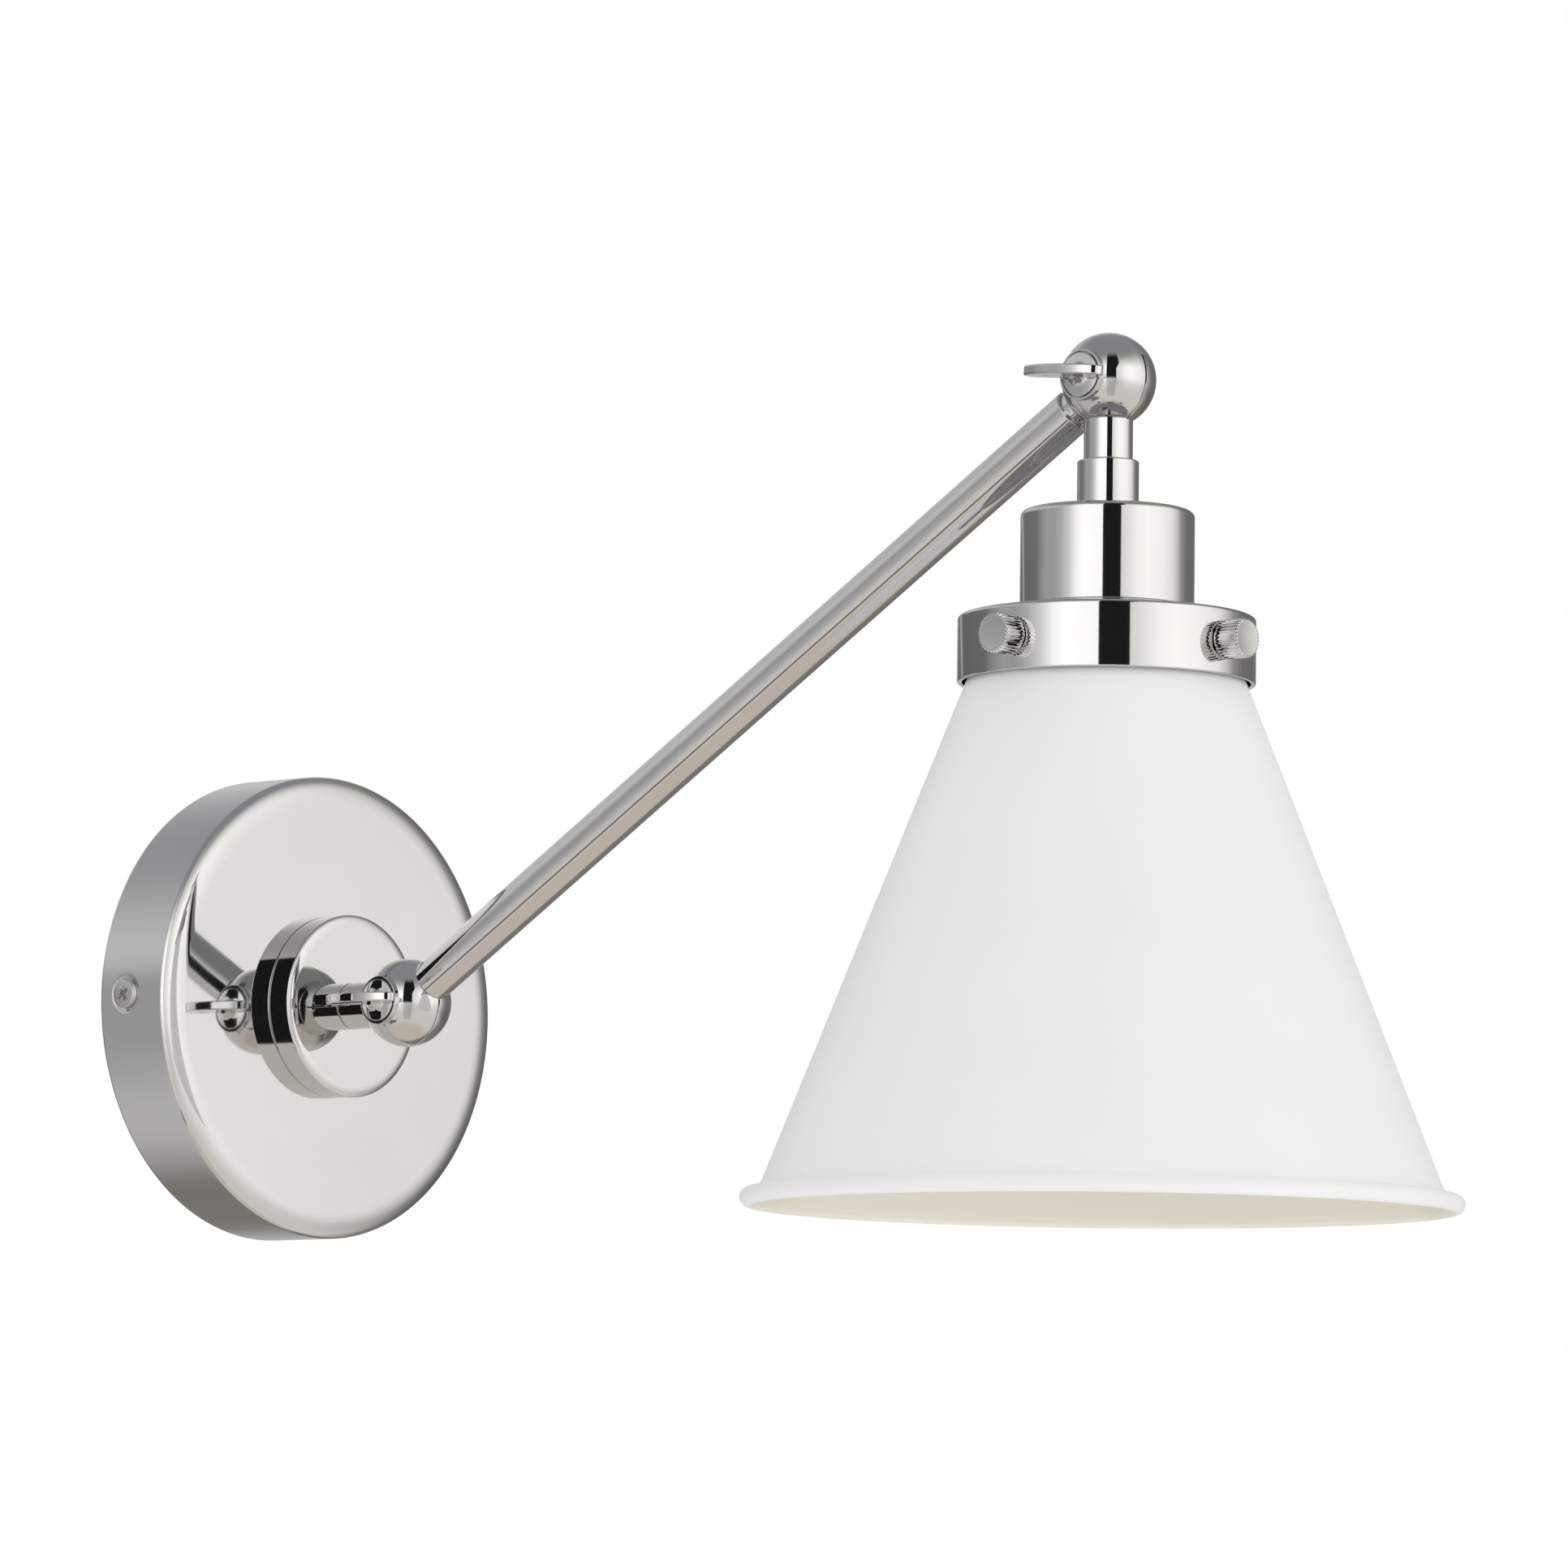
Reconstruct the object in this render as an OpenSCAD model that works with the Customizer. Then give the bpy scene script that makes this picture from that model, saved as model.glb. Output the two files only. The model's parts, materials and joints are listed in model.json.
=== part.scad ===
// Swing arm wall sconce with two keyed ball knuckles and a cone shade.
// Millimetres. The wall is the plane Y = 0, the room is on the -Y side, and Z is up.
// The origin is the centre of the backplate's rear edge, on the wall.

/* [Backplate and hub] */
// Outer diameter of the round backplate
plate_d = 127; // [115:1:150]
// Depth of the backplate from the wall
plate_depth = 25.6; // [22:0.2:35]
// Sheet thickness of the backplate
plate_wall = 1.4; // [1:0.1:2]
// Radius of the rounding round the backplate's front edge
plate_round = 3; // [2:0.5:4]
// Diameter of the hub disc on the backplate
hub_d = 50; // [40:1:70]
// Thickness of the hub disc
hub_t = 7.8; // [5:0.2:12]
// Distance of the canopy screws from the wall
canopy_screw_y = 9.6; // [8:0.2:12]

/* [Knuckles] */
// Radius of the two ball knuckles
ball_r = 12; // [12:0.5:14]
// Distance of the lower ball's centre from the wall
lower_ball_y = 53.8; // [50:0.2:70]
// Radius of the round boss that each key sits in
boss_r = 6.6; // [6.4:0.1:7]
// Distance of the boss's end face from the ball's centre
boss_x = 11.6; // [11.4:0.1:12]
// Half the length of a key's oval paddle
paddle_a = 12.3; // [9:0.1:15]
// Half the height of a key's oval paddle
paddle_b = 4.8; // [4:0.1:6]
// Thickness of a key's paddle
paddle_t = 2.5; // [2:0.1:3]
// Turn of the upper key from level, in degrees
upper_key_turn = 5; // [-30:1:30]

/* [Arm] */
// Horizontal distance between the two balls
arm_run = 243.3; // [180:0.1:300]
// Height of the upper ball above the lower one
arm_rise = 147.5; // [100:0.1:170]
// Outer radius of the arm tube
arm_r = 5.8; // [5.6:0.1:6]
// Outer radius of the stem between the hub and the lower ball
stem_r = 6.4; // [6.2:0.1:7]

/* [Lamp head] */
// Outer radius of the neck under the upper ball
neck_r = 6.2; // [6:0.1:6.6]
// Distance from the upper ball's centre to the end of the neck
neck_len = 20.7; // [18:0.1:24]
// Outer radius of the coupling under the neck
coupling_r = 7.8; // [7:0.1:9]
// Length of the coupling
coupling_len = 12.9; // [10:0.1:16]
// Outer radius of the socket cup
cup_r = 22; // [20:0.5:24]
// Height of the socket cup
cup_h = 27; // [27:0.5:32]
// Outer radius of the shade collar
collar_r = 37.6; // [37:0.1:39]
// Height of the shade collar
collar_h = 16.8; // [15:0.1:19]
// Wall thickness of the shade collar
collar_wall = 1.3; // [1:0.1:1.6]
// Radius of a thumbscrew's knurled head
thumb_r = 4.95; // [4:0.05:5.5]
// Length of a thumbscrew's knurled head
thumb_len = 7.2; // [6:0.1:9]

/* [Shade] */
// Radius of the shade's outer edge, bead included
rim_r = 90.5; // [85:0.5:95]
// Distance from the collar's lower edge down to the bead's centre
shade_drop = 130.1; // [120:0.1:140]
// Radius of the rolled bead
bead_r = 2.3; // [1.8:0.1:3]
// Outer radius of the cone where it goes into the collar
cone_top_r = 35.4; // [34:0.1:35.5]
// Thickness of the shade's sheet
shade_t = 1; // [0.8:0.1:1.2]

/* [Hidden] */
$fn = 96;

// Colours
nickel = [0.80, 0.79, 0.77];
zinc = [0.66, 0.67, 0.69];
brass = [0.80, 0.66, 0.36];
white_paint = [0.93, 0.93, 0.92];
phenolic = [0.08, 0.07, 0.07];
wire_grey = [0.30, 0.30, 0.31];

// Clearances
turn_gap = 0.25;    // between a ball and the tube that sweeps round it
half_gap = 0.15;    // from the pivot's mid-plane to each half ball
slip = 0.05;        // radial, of a shaft in its bore

plate_r = plate_d / 2;
plate_in_r = plate_r - plate_wall;
plate_in_y = plate_depth - plate_wall;
hub_face_y = plate_depth + hub_t;
cavity_r = ball_r - 2;

// Threaded tubes that the leads run through
nipple_r = 4.85;
nipple_bore = 3.4;
nipple_hole = nipple_r + slip;
lead_r = 1.45;
lead_off = 1.8;

// Pivot screws
stud_r = 2;
stud_tip = 8.5;
pin_boss_r = 4.4;
pin_boss_gap = 0.6;
key_disc_r = 5.7;
key_disc_back = boss_x - 1.2;
key_disc_front = boss_x + 0.6;
paddle_x = 18.2;
key_neck_end = paddle_x - paddle_b + 1.5;

// Arm
arm_len = sqrt(arm_run * arm_run + arm_rise * arm_rise);
arm_angle = atan2(arm_rise, arm_run);
arm_bore = arm_r - 0.9;
arm_end_gap = 13;   // from the upper ball's centre to the tube's square end
stub_r = arm_bore - slip;
stub_len = 22;

// Heights in the lamp head, counted from the origin
upper_y = lower_ball_y + arm_run;
coupling_top = arm_rise - neck_len;
cup_top = coupling_top - coupling_len;
collar_top = cup_top - cup_h;
collar_bottom = collar_top - collar_h;
thumb_z = (collar_top + collar_bottom) / 2;
bead_z = collar_bottom - shade_drop;
holder_r = 17;
holder_bottom = collar_top - 15;
holder_top = collar_top + 17;
holder_bore = 14.2;

// Shade
shade_slope = (rim_r - bead_r - 1.6 - cone_top_r) / shade_drop;
cone_end_z = collar_bottom + 3.4;
fitter_r = 30;
fitter_top = collar_top - 4;

// Canopy hardware
ear_x = plate_in_r - 0.7;
strap_t = 2;
strap_half_h = 10;
ear_half_h = 7;
box_screw_x = 44.45;
slot_len = 12;
slot_r = 2.4;
ground_x = 24;
canopy_shank_r = 1.9;
canopy_head_r = 4.3;

// Bulb
globe_r = 29.5;
globe_z = collar_bottom - 54;
cap_r = 13.1;
cap_bottom = collar_bottom - 4;
cap_top = cap_bottom + 22;
bulb_neck_r = cap_r - 1;
bulb_neck_z = cap_bottom - 6;

// Placing helpers ----------------------------------------------------------

// Turns local +Z to point into the room, with local zero on the wall
module from_wall() {
    rotate([90, 0, 0]) children();
}

// Puts the children at the lower ball's centre
module at_lower() {
    translate([0, -lower_ball_y, 0]) children();
}

// Puts the children at the upper ball's centre
module at_upper() {
    translate([0, -upper_y, arm_rise]) children();
}

// Turns local +Z along the arm, from the lower ball to the upper one
module along_arm() {
    rotate([90 - arm_angle, 0, 0]) children();
}

// Turns local +Z to point along -X, the side that the keys are on
module to_left() {
    rotate([0, -90, 0]) children();
}

// Puts the children on the lamp head's upright axis, with heights kept
module on_head() {
    translate([0, -upper_y, 0]) children();
}

// Shapes -------------------------------------------------------------------

// A tube from height z0 to height z1
module tube(outer, inner, z0, z1) {
    translate([0, 0, z0]) difference() {
        cylinder(r = outer, h = z1 - z0);
        translate([0, 0, -1]) cylinder(r = inner, h = z1 - z0 + 2);
    }
}

// Half outline of a disc whose outer top edge is rounded
module round_outline(r, h, f) {
    square([r - f, h]);
    square([r, h - f]);
    translate([r - f, h - f]) circle(r = f);
}

// A disc on local zero whose outer top edge is rounded
module round_disc(r, h, f) {
    rotate_extrude() round_outline(r, h, f);
}

// The half space on the -X side of the pivot's mid-plane
module left_half() {
    span = 60;
    translate([-half_gap - span, -span / 2, -span / 2]) cube(span);
}

// The -X half of a ball knuckle on its pivot along X, with a hollow neck along local -Z.
// The neck is joined to its own half only, and it clears the other half as it turns.
module knuckle_half(r, len, bore) {
    difference() {
        union() {
            intersection() {
                left_half();
                difference() {
                    sphere(r = ball_r);
                    sphere(r = cavity_r);
                }
            }
            intersection() {
                left_half();
                translate([0, 0, -ball_r]) cylinder(r = r, h = ball_r - cavity_r + 1);
            }
            difference() {
                translate([0, 0, -len]) cylinder(r = r, h = len);
                sphere(r = ball_r + turn_gap);
            }
            to_left() translate([0, 0, pin_boss_gap])
                cylinder(r = pin_boss_r, h = cavity_r + 0.5 - pin_boss_gap);
        }
        translate([0, 0, -len - 1]) cylinder(r = bore, h = len - 5);
    }
}

// The half that holds a key: a round boss outside, drilled through for the pivot screw
module key_half(r, len, bore) {
    difference() {
        union() {
            knuckle_half(r, len, bore);
            to_left() tube(boss_r, pin_boss_r - 1, cavity_r - 1, boss_x);
        }
        to_left() cylinder(r = stud_r + 0.15, h = 2 * ball_r);
        to_left() translate([0, 0, key_disc_back - 0.1])
            cylinder(r = key_disc_r + 0.2, h = ball_r);
    }
}

// The +X half on the arm, with a blind threaded hole for the pivot screw's end
module cap_half() {
    rotate([0, 0, 180]) difference() {
        knuckle_half(stub_r, stub_len, nipple_bore);
        to_left() cylinder(r = stud_r + slip, h = stud_tip + 0.6);
    }
}

// Outline of a key's paddle
module oval(a, b) {
    steps = 64;
    polygon([for (i = [0:steps - 1]) [a * cos(i * 360 / steps), b * sin(i * 360 / steps)]]);
}

// A turn key on its pivot along X: round disc, tapered neck and oval paddle
module key() {
    to_left() {
        translate([0, 0, key_disc_back]) cylinder(r = key_disc_r, h = 1.4);
        translate([0, 0, key_disc_back + 1.4])
            cylinder(r1 = key_disc_r, r2 = key_disc_r - 1.2, h = key_disc_front - key_disc_back - 1.4);
        translate([0, 0, key_disc_front - 0.1])
            cylinder(r1 = 3.4, r2 = 1.25, h = key_neck_end - key_disc_front + 0.1);
    }
    translate([-paddle_x, 0, -paddle_t / 2])
        rotate([0, 0, 90])
            linear_extrude(paddle_t) oval(paddle_a, paddle_b);
}

// The threaded screw of a key, from the back of its disc into the arm's half ball
module key_stud() {
    to_left() translate([0, 0, -stud_tip]) cylinder(r = stud_r, h = stud_tip + key_disc_back);
}

// The washer that the two halves of a knuckle are clamped on
module friction_washer() {
    to_left() tube(pin_boss_r - 0.1, stud_r + 0.15, -0.5, 0.5);
}

// A straight lead on local Z
module lead(z0, z1) {
    translate([0, 0, z0]) cylinder(r = lead_r, h = z1 - z0);
}

// A pan head screw on local Z with its head's seat at zero and a cross recess
module pan_screw(head_r, head_h, shank_r, shank_len) {
    difference() {
        union() {
            round_disc(head_r, head_h, head_h / 2);
            translate([0, 0, -shank_len]) cylinder(r = shank_r, h = shank_len + 0.5);
        }
        for (turn = [0, 90])
            rotate([0, 0, turn]) translate([-head_r / 2, -0.5, head_h - 1])
                cube([head_r, 1, 2]);
    }
}

// A thumbscrew of the shade collar, pointing along +X: the head is outside
module thumbscrew() {
    tip_x = fitter_r + 0.1;
    head_x = collar_r + 0.1;
    translate([0, 0, thumb_z]) rotate([0, 90, 0]) {
        translate([0, 0, tip_x]) cylinder(r = stud_r, h = head_x - tip_x + 1);
        translate([0, 0, head_x]) difference() {
            round_disc(thumb_r, thumb_len, 0.4);
            translate([0, 0, -1]) tube(thumb_r + 1, thumb_r - 0.4, 0, 1.4);
        }
    }
}

// Wall side ----------------------------------------------------------------

module backplate() {
    color(nickel) difference() {
        from_wall() difference() {
            round_disc(plate_r, plate_depth, plate_round);
            translate([0, 0, -1]) round_disc(plate_in_r, plate_in_y + 1, plate_round - plate_wall);
            cylinder(r = nipple_r + 0.35, h = plate_depth + 1);
        }
        for (side = [-1, 1])
            translate([side * plate_in_r - side * 4, -canopy_screw_y, 0])
                rotate([0, side * 90, 0]) {
                    cylinder(r = canopy_shank_r + 0.4, h = 8);
                    translate([0, 0, 4 + plate_wall - 0.5])
                        cylinder(r1 = canopy_head_r + 0.2, r2 = canopy_head_r + 1.2, h = 1);
                }
    }
}

// Steel strap that bolts to the junction box, with a bent ear at each end
module crossbar() {
    color(zinc) difference() {
        union() {
            translate([-ear_x, -strap_t, -strap_half_h]) cube([2 * ear_x, strap_t, 2 * strap_half_h]);
            for (side = [-1, 1])
                translate([side > 0 ? ear_x - strap_t : -ear_x, -15, -ear_half_h])
                    cube([strap_t, 15, 2 * ear_half_h]);
        }
        from_wall() {
            translate([0, 0, -1]) cylinder(r = 7, h = strap_t + 2);
            translate([ground_x, 0, -1]) cylinder(r = 1.95, h = strap_t + 2);
            for (side = [-1, 1])
                translate([side * box_screw_x, 0, -1]) slot(slot_len, slot_r, strap_t + 2);
        }
        for (side = [-1, 1])
            translate([side * ear_x - side * 4, -canopy_screw_y, 0])
                rotate([0, side * 90, 0]) cylinder(r = canopy_shank_r + slip, h = 8);
        for (x = [-1, 1], z = [-1, 1])
            translate([x * ear_x, 0, z * strap_half_h]) rotate([0, 45, 0])
                cube([8, 3 * strap_t, 8], center = true);
    }
}

// A slot along local X with round ends
module slot(len, r, h) {
    straight = len / 2 - r;
    for (side = [-1, 1]) translate([side * straight, 0, 0]) cylinder(r = r, h = h);
    translate([-straight, -r, 0]) cube([2 * straight, 2 * r, h]);
}

// A canopy screw: side -1 is the left one, side 1 the right one
module canopy_screw(side) {
    color(nickel) translate([side * (plate_r - 0.45), -canopy_screw_y, 0])
        rotate([0, side * 90, 0]) pan_screw(canopy_head_r, 1.5, canopy_shank_r, 9);
}

module canopy_screw_left() {
    canopy_screw(-1);
}

module canopy_screw_right() {
    canopy_screw(1);
}

module ground_screw() {
    color([0.15, 0.55, 0.25]) from_wall() translate([ground_x, 0, strap_t])
        pan_screw(4.5, 2.6, 1.9, strap_t - 0.2);
}

module hub_disc() {
    color(nickel) from_wall() difference() {
        translate([0, 0, plate_depth]) round_disc(hub_d / 2, hub_t, 0.8);
        translate([0, 0, plate_depth - 1]) cylinder(r = nipple_r + 0.1, h = hub_t + 2);
    }
}

// Pin inside the backplate that the stop washer meets at each end of the swing
module stop_pin() {
    color(zinc) from_wall() translate([0, -11, plate_in_y - 3]) cylinder(r = 2, h = 3);
}

// Swivelling stem ----------------------------------------------------------

module stem_knuckle() {
    stem_len = lower_ball_y - hub_face_y - 0.1;
    color(nickel) at_lower() difference() {
        rotate([90, 0, 0]) key_half(stem_r, stem_len, nipple_bore);
        translate([0, stem_len - 8, 0]) rotate([-90, 0, 0]) cylinder(r = nipple_hole, h = 10);
    }
}

// Hollow threaded tube that carries the stem through the hub and the backplate
module stem_nipple() {
    color(brass) from_wall() tube(nipple_r, nipple_bore, 14, hub_face_y + 7.5);
}

module stop_washer() {
    flange_half = 78;
    reach = 40;
    color(zinc) from_wall() translate([0, 0, plate_in_y - 1.6]) difference() {
        union() {
            cylinder(r = 8, h = 1.5);
            intersection() {
                cylinder(r = 14, h = 1.5);
                linear_extrude(1.5) polygon([
                    [0, 0],
                    [-reach * sin(flange_half), reach * cos(flange_half)],
                    [-reach, reach],
                    [reach, reach],
                    [reach * sin(flange_half), reach * cos(flange_half)]
                ]);
            }
        }
        translate([0, 0, -1]) cylinder(r = nipple_hole, h = 4);
    }
}

module wave_washer() {
    color(zinc) from_wall() tube(8, nipple_hole + 0.1, plate_in_y - 2.6, plate_in_y - 1.6);
}

module hub_nut() {
    color(brass) from_wall() translate([0, 0, plate_in_y - 7.6]) difference() {
        cylinder(r = 8.1, h = 5, $fn = 6);
        translate([0, 0, -1]) cylinder(r = nipple_hole, h = 7);
    }
}

module stem_lead() {
    color(wire_grey) from_wall() translate([-lead_off, 0, 0]) lead(10, lower_ball_y - 6.5);
}

module lower_key() {
    color(nickel) at_lower() key();
}

module lower_key_stud() {
    color(zinc) at_lower() key_stud();
}

// Arm ----------------------------------------------------------------------

module lower_knuckle_cap() {
    color(nickel) at_lower() along_arm() rotate([180, 0, 0]) cap_half();
}

module upper_knuckle_cap() {
    color(nickel) at_upper() along_arm() cap_half();
}

module lower_friction_washer() {
    color(phenolic) at_lower() friction_washer();
}

module upper_friction_washer() {
    color(phenolic) at_upper() friction_washer();
}

module arm_tube() {
    color(nickel) at_lower() along_arm() difference() {
        tube(arm_r, arm_bore, ball_r / 2, arm_len - arm_end_gap);
        sphere(r = ball_r + turn_gap);
    }
}

module arm_lead() {
    color(wire_grey) at_lower() along_arm() translate([lead_off, 0, 0]) lead(6.5, arm_len - 6.5);
}

module upper_key() {
    color(nickel) at_upper() rotate([upper_key_turn, 0, 0]) key();
}

module upper_key_stud() {
    color(zinc) at_upper() key_stud();
}

// Lamp head ----------------------------------------------------------------

module neck_knuckle() {
    color(nickel) at_upper() difference() {
        key_half(neck_r, neck_len, nipple_bore);
        translate([0, 0, -neck_len - 1]) cylinder(r = nipple_hole, h = 7);
    }
}

module neck_coupling() {
    color(nickel) on_head() difference() {
        translate([0, 0, cup_top]) round_disc(coupling_r, coupling_len, 0.5);
        translate([0, 0, cup_top - 1]) cylinder(r = nipple_hole, h = coupling_len + 2);
    }
}

// Hollow threaded tube that holds the neck, the coupling, the cup and the lampholder together
module neck_nipple() {
    color(brass) on_head() tube(nipple_r, nipple_bore, holder_top - 3, coupling_top + 5.5);
}

// Nut that holds the cup up against the coupling
module cup_nut() {
    color(brass) on_head() translate([0, 0, cup_top - 6.3]) difference() {
        cylinder(r = 8.1, h = 5, $fn = 6);
        translate([0, 0, -1]) cylinder(r = nipple_hole, h = 7);
    }
}

module socket_cup() {
    color(nickel) on_head() translate([0, 0, collar_top]) difference() {
        round_disc(cup_r, cup_h, 1.6);
        translate([0, 0, -1]) round_disc(cup_r - 1.2, cup_h - 0.2, 0.6);
        cylinder(r = nipple_hole, h = cup_h + 1);
    }
}

module shade_collar() {
    color(nickel) on_head() difference() {
        translate([0, 0, collar_bottom]) difference() {
            round_disc(collar_r, collar_h, 1);
            translate([0, 0, -1]) cylinder(r = collar_r - collar_wall, h = collar_h - 0.5);
            cylinder(r = holder_r + 0.2, h = collar_h + 1);
        }
        for (turn = [0, 90])
            translate([0, 0, thumb_z]) rotate([0, 90, turn])
                cylinder(r = stud_r + slip, h = 3 * collar_r, center = true);
    }
}

module thumbscrew_left() {
    color(nickel) on_head() rotate([0, 0, 180]) thumbscrew();
}

module thumbscrew_front() {
    color(nickel) on_head() rotate([0, 0, -90]) thumbscrew();
}

module thumbscrew_right() {
    color(nickel) on_head() thumbscrew();
}

module thumbscrew_rear() {
    color(nickel) on_head() rotate([0, 0, 90]) thumbscrew();
}

module lampholder_body() {
    color(phenolic) on_head() difference() {
        translate([0, 0, holder_bottom]) cylinder(r = holder_r, h = holder_top - holder_bottom);
        translate([0, 0, holder_bottom - 1]) cylinder(r = holder_bore, h = holder_top - holder_bottom - 3);
        cylinder(r = nipple_hole, h = holder_top + 1);
    }
}

// Screw shell that the bulb's cap turns into
module lampholder_shell() {
    color(brass) on_head() tube(cap_r + 0.8, cap_r + 0.15, holder_bottom + 1, holder_top - 5);
}

// Centre contact: a round tongue on a post under the lampholder's roof
module lampholder_contact() {
    contact_z = cap_top + 2.9;
    color(brass) on_head() {
        translate([0, 0, contact_z]) cylinder(r = 8, h = 0.8);
        translate([6.5, 0, contact_z]) cylinder(r = 1.2, h = holder_top - 4 - contact_z);
    }
}

// Threaded ring that clamps the collar to the cup
module lampholder_ring() {
    color(phenolic) on_head() tube(21, holder_r + slip, collar_top - 5, collar_top - 1.6);
}

module head_lead() {
    color(wire_grey) on_head() translate([-lead_off, 0, 0]) lead(cap_top + 3.8, arm_rise - 6.5);
}

// Straight cone with a rolled bead at its rim and a fitter neck inside the collar
module shade() {
    color(white_paint) on_head() rotate_extrude($fn = 128) {
        polygon([
            [rim_r - bead_r - 1.6, bead_z],
            [cone_top_r - (cone_end_z - collar_bottom) * shade_slope, cone_end_z],
            [fitter_r, cone_end_z],
            [fitter_r, fitter_top],
            [fitter_r + 2.5, fitter_top],
            [fitter_r + 2.5, fitter_top + shade_t],
            [fitter_r - shade_t, fitter_top + shade_t],
            [fitter_r - shade_t, cone_end_z - shade_t],
            [cone_top_r - (cone_end_z - collar_bottom) * shade_slope - shade_t, cone_end_z - shade_t],
            [rim_r - bead_r - 1.6 - shade_t, bead_z]
        ]);
        translate([rim_r - bead_r, bead_z]) circle(r = bead_r);
    }
}

// Half outline of the bulb's glass: a ball with a taper tangent to it, and a neck up to z_top
module globe_outline(grow, z_top) {
    ball = globe_r + grow;
    neck = bulb_neck_r + grow;
    rise = bulb_neck_z - globe_z;
    tangent = atan2(neck, rise) + acos(ball / sqrt(neck * neck + rise * rise));
    intersection() {
        translate([0, globe_z - 50]) square([50, 100]);
        translate([0, globe_z]) circle(r = ball);
    }
    polygon([
        [0, globe_z],
        [ball * sin(tangent), globe_z + ball * cos(tangent)],
        [neck, bulb_neck_z],
        [neck, z_top],
        [0, z_top]
    ]);
}

module bulb_globe() {
    glass_top = cap_bottom + 1;
    color([0.97, 0.96, 0.93, 0.9]) on_head() rotate_extrude() difference() {
        globe_outline(0, glass_top);
        globe_outline(-1, glass_top + 1);
    }
}

module bulb_cap() {
    color(zinc) on_head() tube(cap_r, cap_r - 0.5, cap_bottom, cap_top);
}

module bulb_insulator() {
    color(phenolic) on_head() translate([0, 0, cap_top]) cylinder(r1 = cap_r - 1, r2 = 6.5, h = 2);
}

module bulb_tip() {
    color(zinc) on_head() translate([0, 0, cap_top + 2]) cylinder(r = 4.5, h = 0.8);
}

backplate();
crossbar();
canopy_screw_left();
canopy_screw_right();
ground_screw();
hub_disc();
stop_pin();
stem_knuckle();
stem_nipple();
stop_washer();
wave_washer();
hub_nut();
stem_lead();
lower_key();
lower_key_stud();
lower_knuckle_cap();
lower_friction_washer();
arm_tube();
upper_knuckle_cap();
upper_friction_washer();
arm_lead();
upper_key();
upper_key_stud();
neck_knuckle();
neck_coupling();
neck_nipple();
cup_nut();
socket_cup();
shade_collar();
thumbscrew_left();
thumbscrew_front();
thumbscrew_right();
thumbscrew_rear();
lampholder_body();
lampholder_shell();
lampholder_contact();
lampholder_ring();
head_lead();
shade();
bulb_globe();
bulb_cap();
bulb_insulator();
bulb_tip();
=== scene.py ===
"""Looks for the swing arm wall sconce: polished nickel plate, a white cone shade with a warm white inside."""

import json
import math

import bpy
import numpy as np
from mathutils import Matrix, Vector


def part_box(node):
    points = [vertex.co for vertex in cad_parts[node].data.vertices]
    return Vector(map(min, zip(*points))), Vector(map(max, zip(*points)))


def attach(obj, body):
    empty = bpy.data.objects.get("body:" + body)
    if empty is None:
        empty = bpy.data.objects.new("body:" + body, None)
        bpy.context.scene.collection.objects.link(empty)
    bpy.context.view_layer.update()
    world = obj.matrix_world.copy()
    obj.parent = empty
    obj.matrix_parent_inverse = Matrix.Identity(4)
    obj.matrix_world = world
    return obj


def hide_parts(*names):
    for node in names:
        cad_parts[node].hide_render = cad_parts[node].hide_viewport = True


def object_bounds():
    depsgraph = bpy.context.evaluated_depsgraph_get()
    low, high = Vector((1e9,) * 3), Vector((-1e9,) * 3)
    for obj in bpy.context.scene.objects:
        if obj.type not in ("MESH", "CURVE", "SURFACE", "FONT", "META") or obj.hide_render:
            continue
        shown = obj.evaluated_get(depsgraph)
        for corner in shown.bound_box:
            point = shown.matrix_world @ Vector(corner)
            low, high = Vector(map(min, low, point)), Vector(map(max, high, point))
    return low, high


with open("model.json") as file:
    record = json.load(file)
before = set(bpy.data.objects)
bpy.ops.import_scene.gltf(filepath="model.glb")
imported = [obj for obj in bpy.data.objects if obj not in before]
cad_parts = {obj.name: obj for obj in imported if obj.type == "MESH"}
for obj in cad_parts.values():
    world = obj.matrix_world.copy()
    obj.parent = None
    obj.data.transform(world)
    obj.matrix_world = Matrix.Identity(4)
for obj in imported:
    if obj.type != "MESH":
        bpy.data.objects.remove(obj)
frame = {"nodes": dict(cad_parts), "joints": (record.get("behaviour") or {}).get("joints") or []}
cad_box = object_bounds()
nodes = frame["nodes"]
joint = {j["name"]: j for j in frame["joints"]}
MM = 0.001

# Places in millimetres ------------------------------------------------------


def span(node):
    """(lowest corner, highest corner) of a CAD node, in millimetres."""
    lo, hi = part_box(node)
    return lo / MM, hi / MM


lower = Vector(joint["arm_pivot"]["pos_m"]) / MM
upper = Vector(joint["shade_pivot"]["pos_m"]) / MM
reach = upper - lower
arm_len = reach.length
from_wall = Matrix.Rotation(math.radians(90), 4, "X")
to_left = Matrix.Rotation(math.radians(-90), 4, "Y")
to_right = Matrix.Rotation(math.radians(90), 4, "Y")
at_lower = Matrix.Translation(lower)
at_upper = Matrix.Translation(upper)
along_arm = Matrix.Rotation(math.radians(90) - math.atan2(reach.z, -reach.y), 4, "X")
on_head = Matrix.Translation((upper.x, upper.y, 0))

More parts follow.
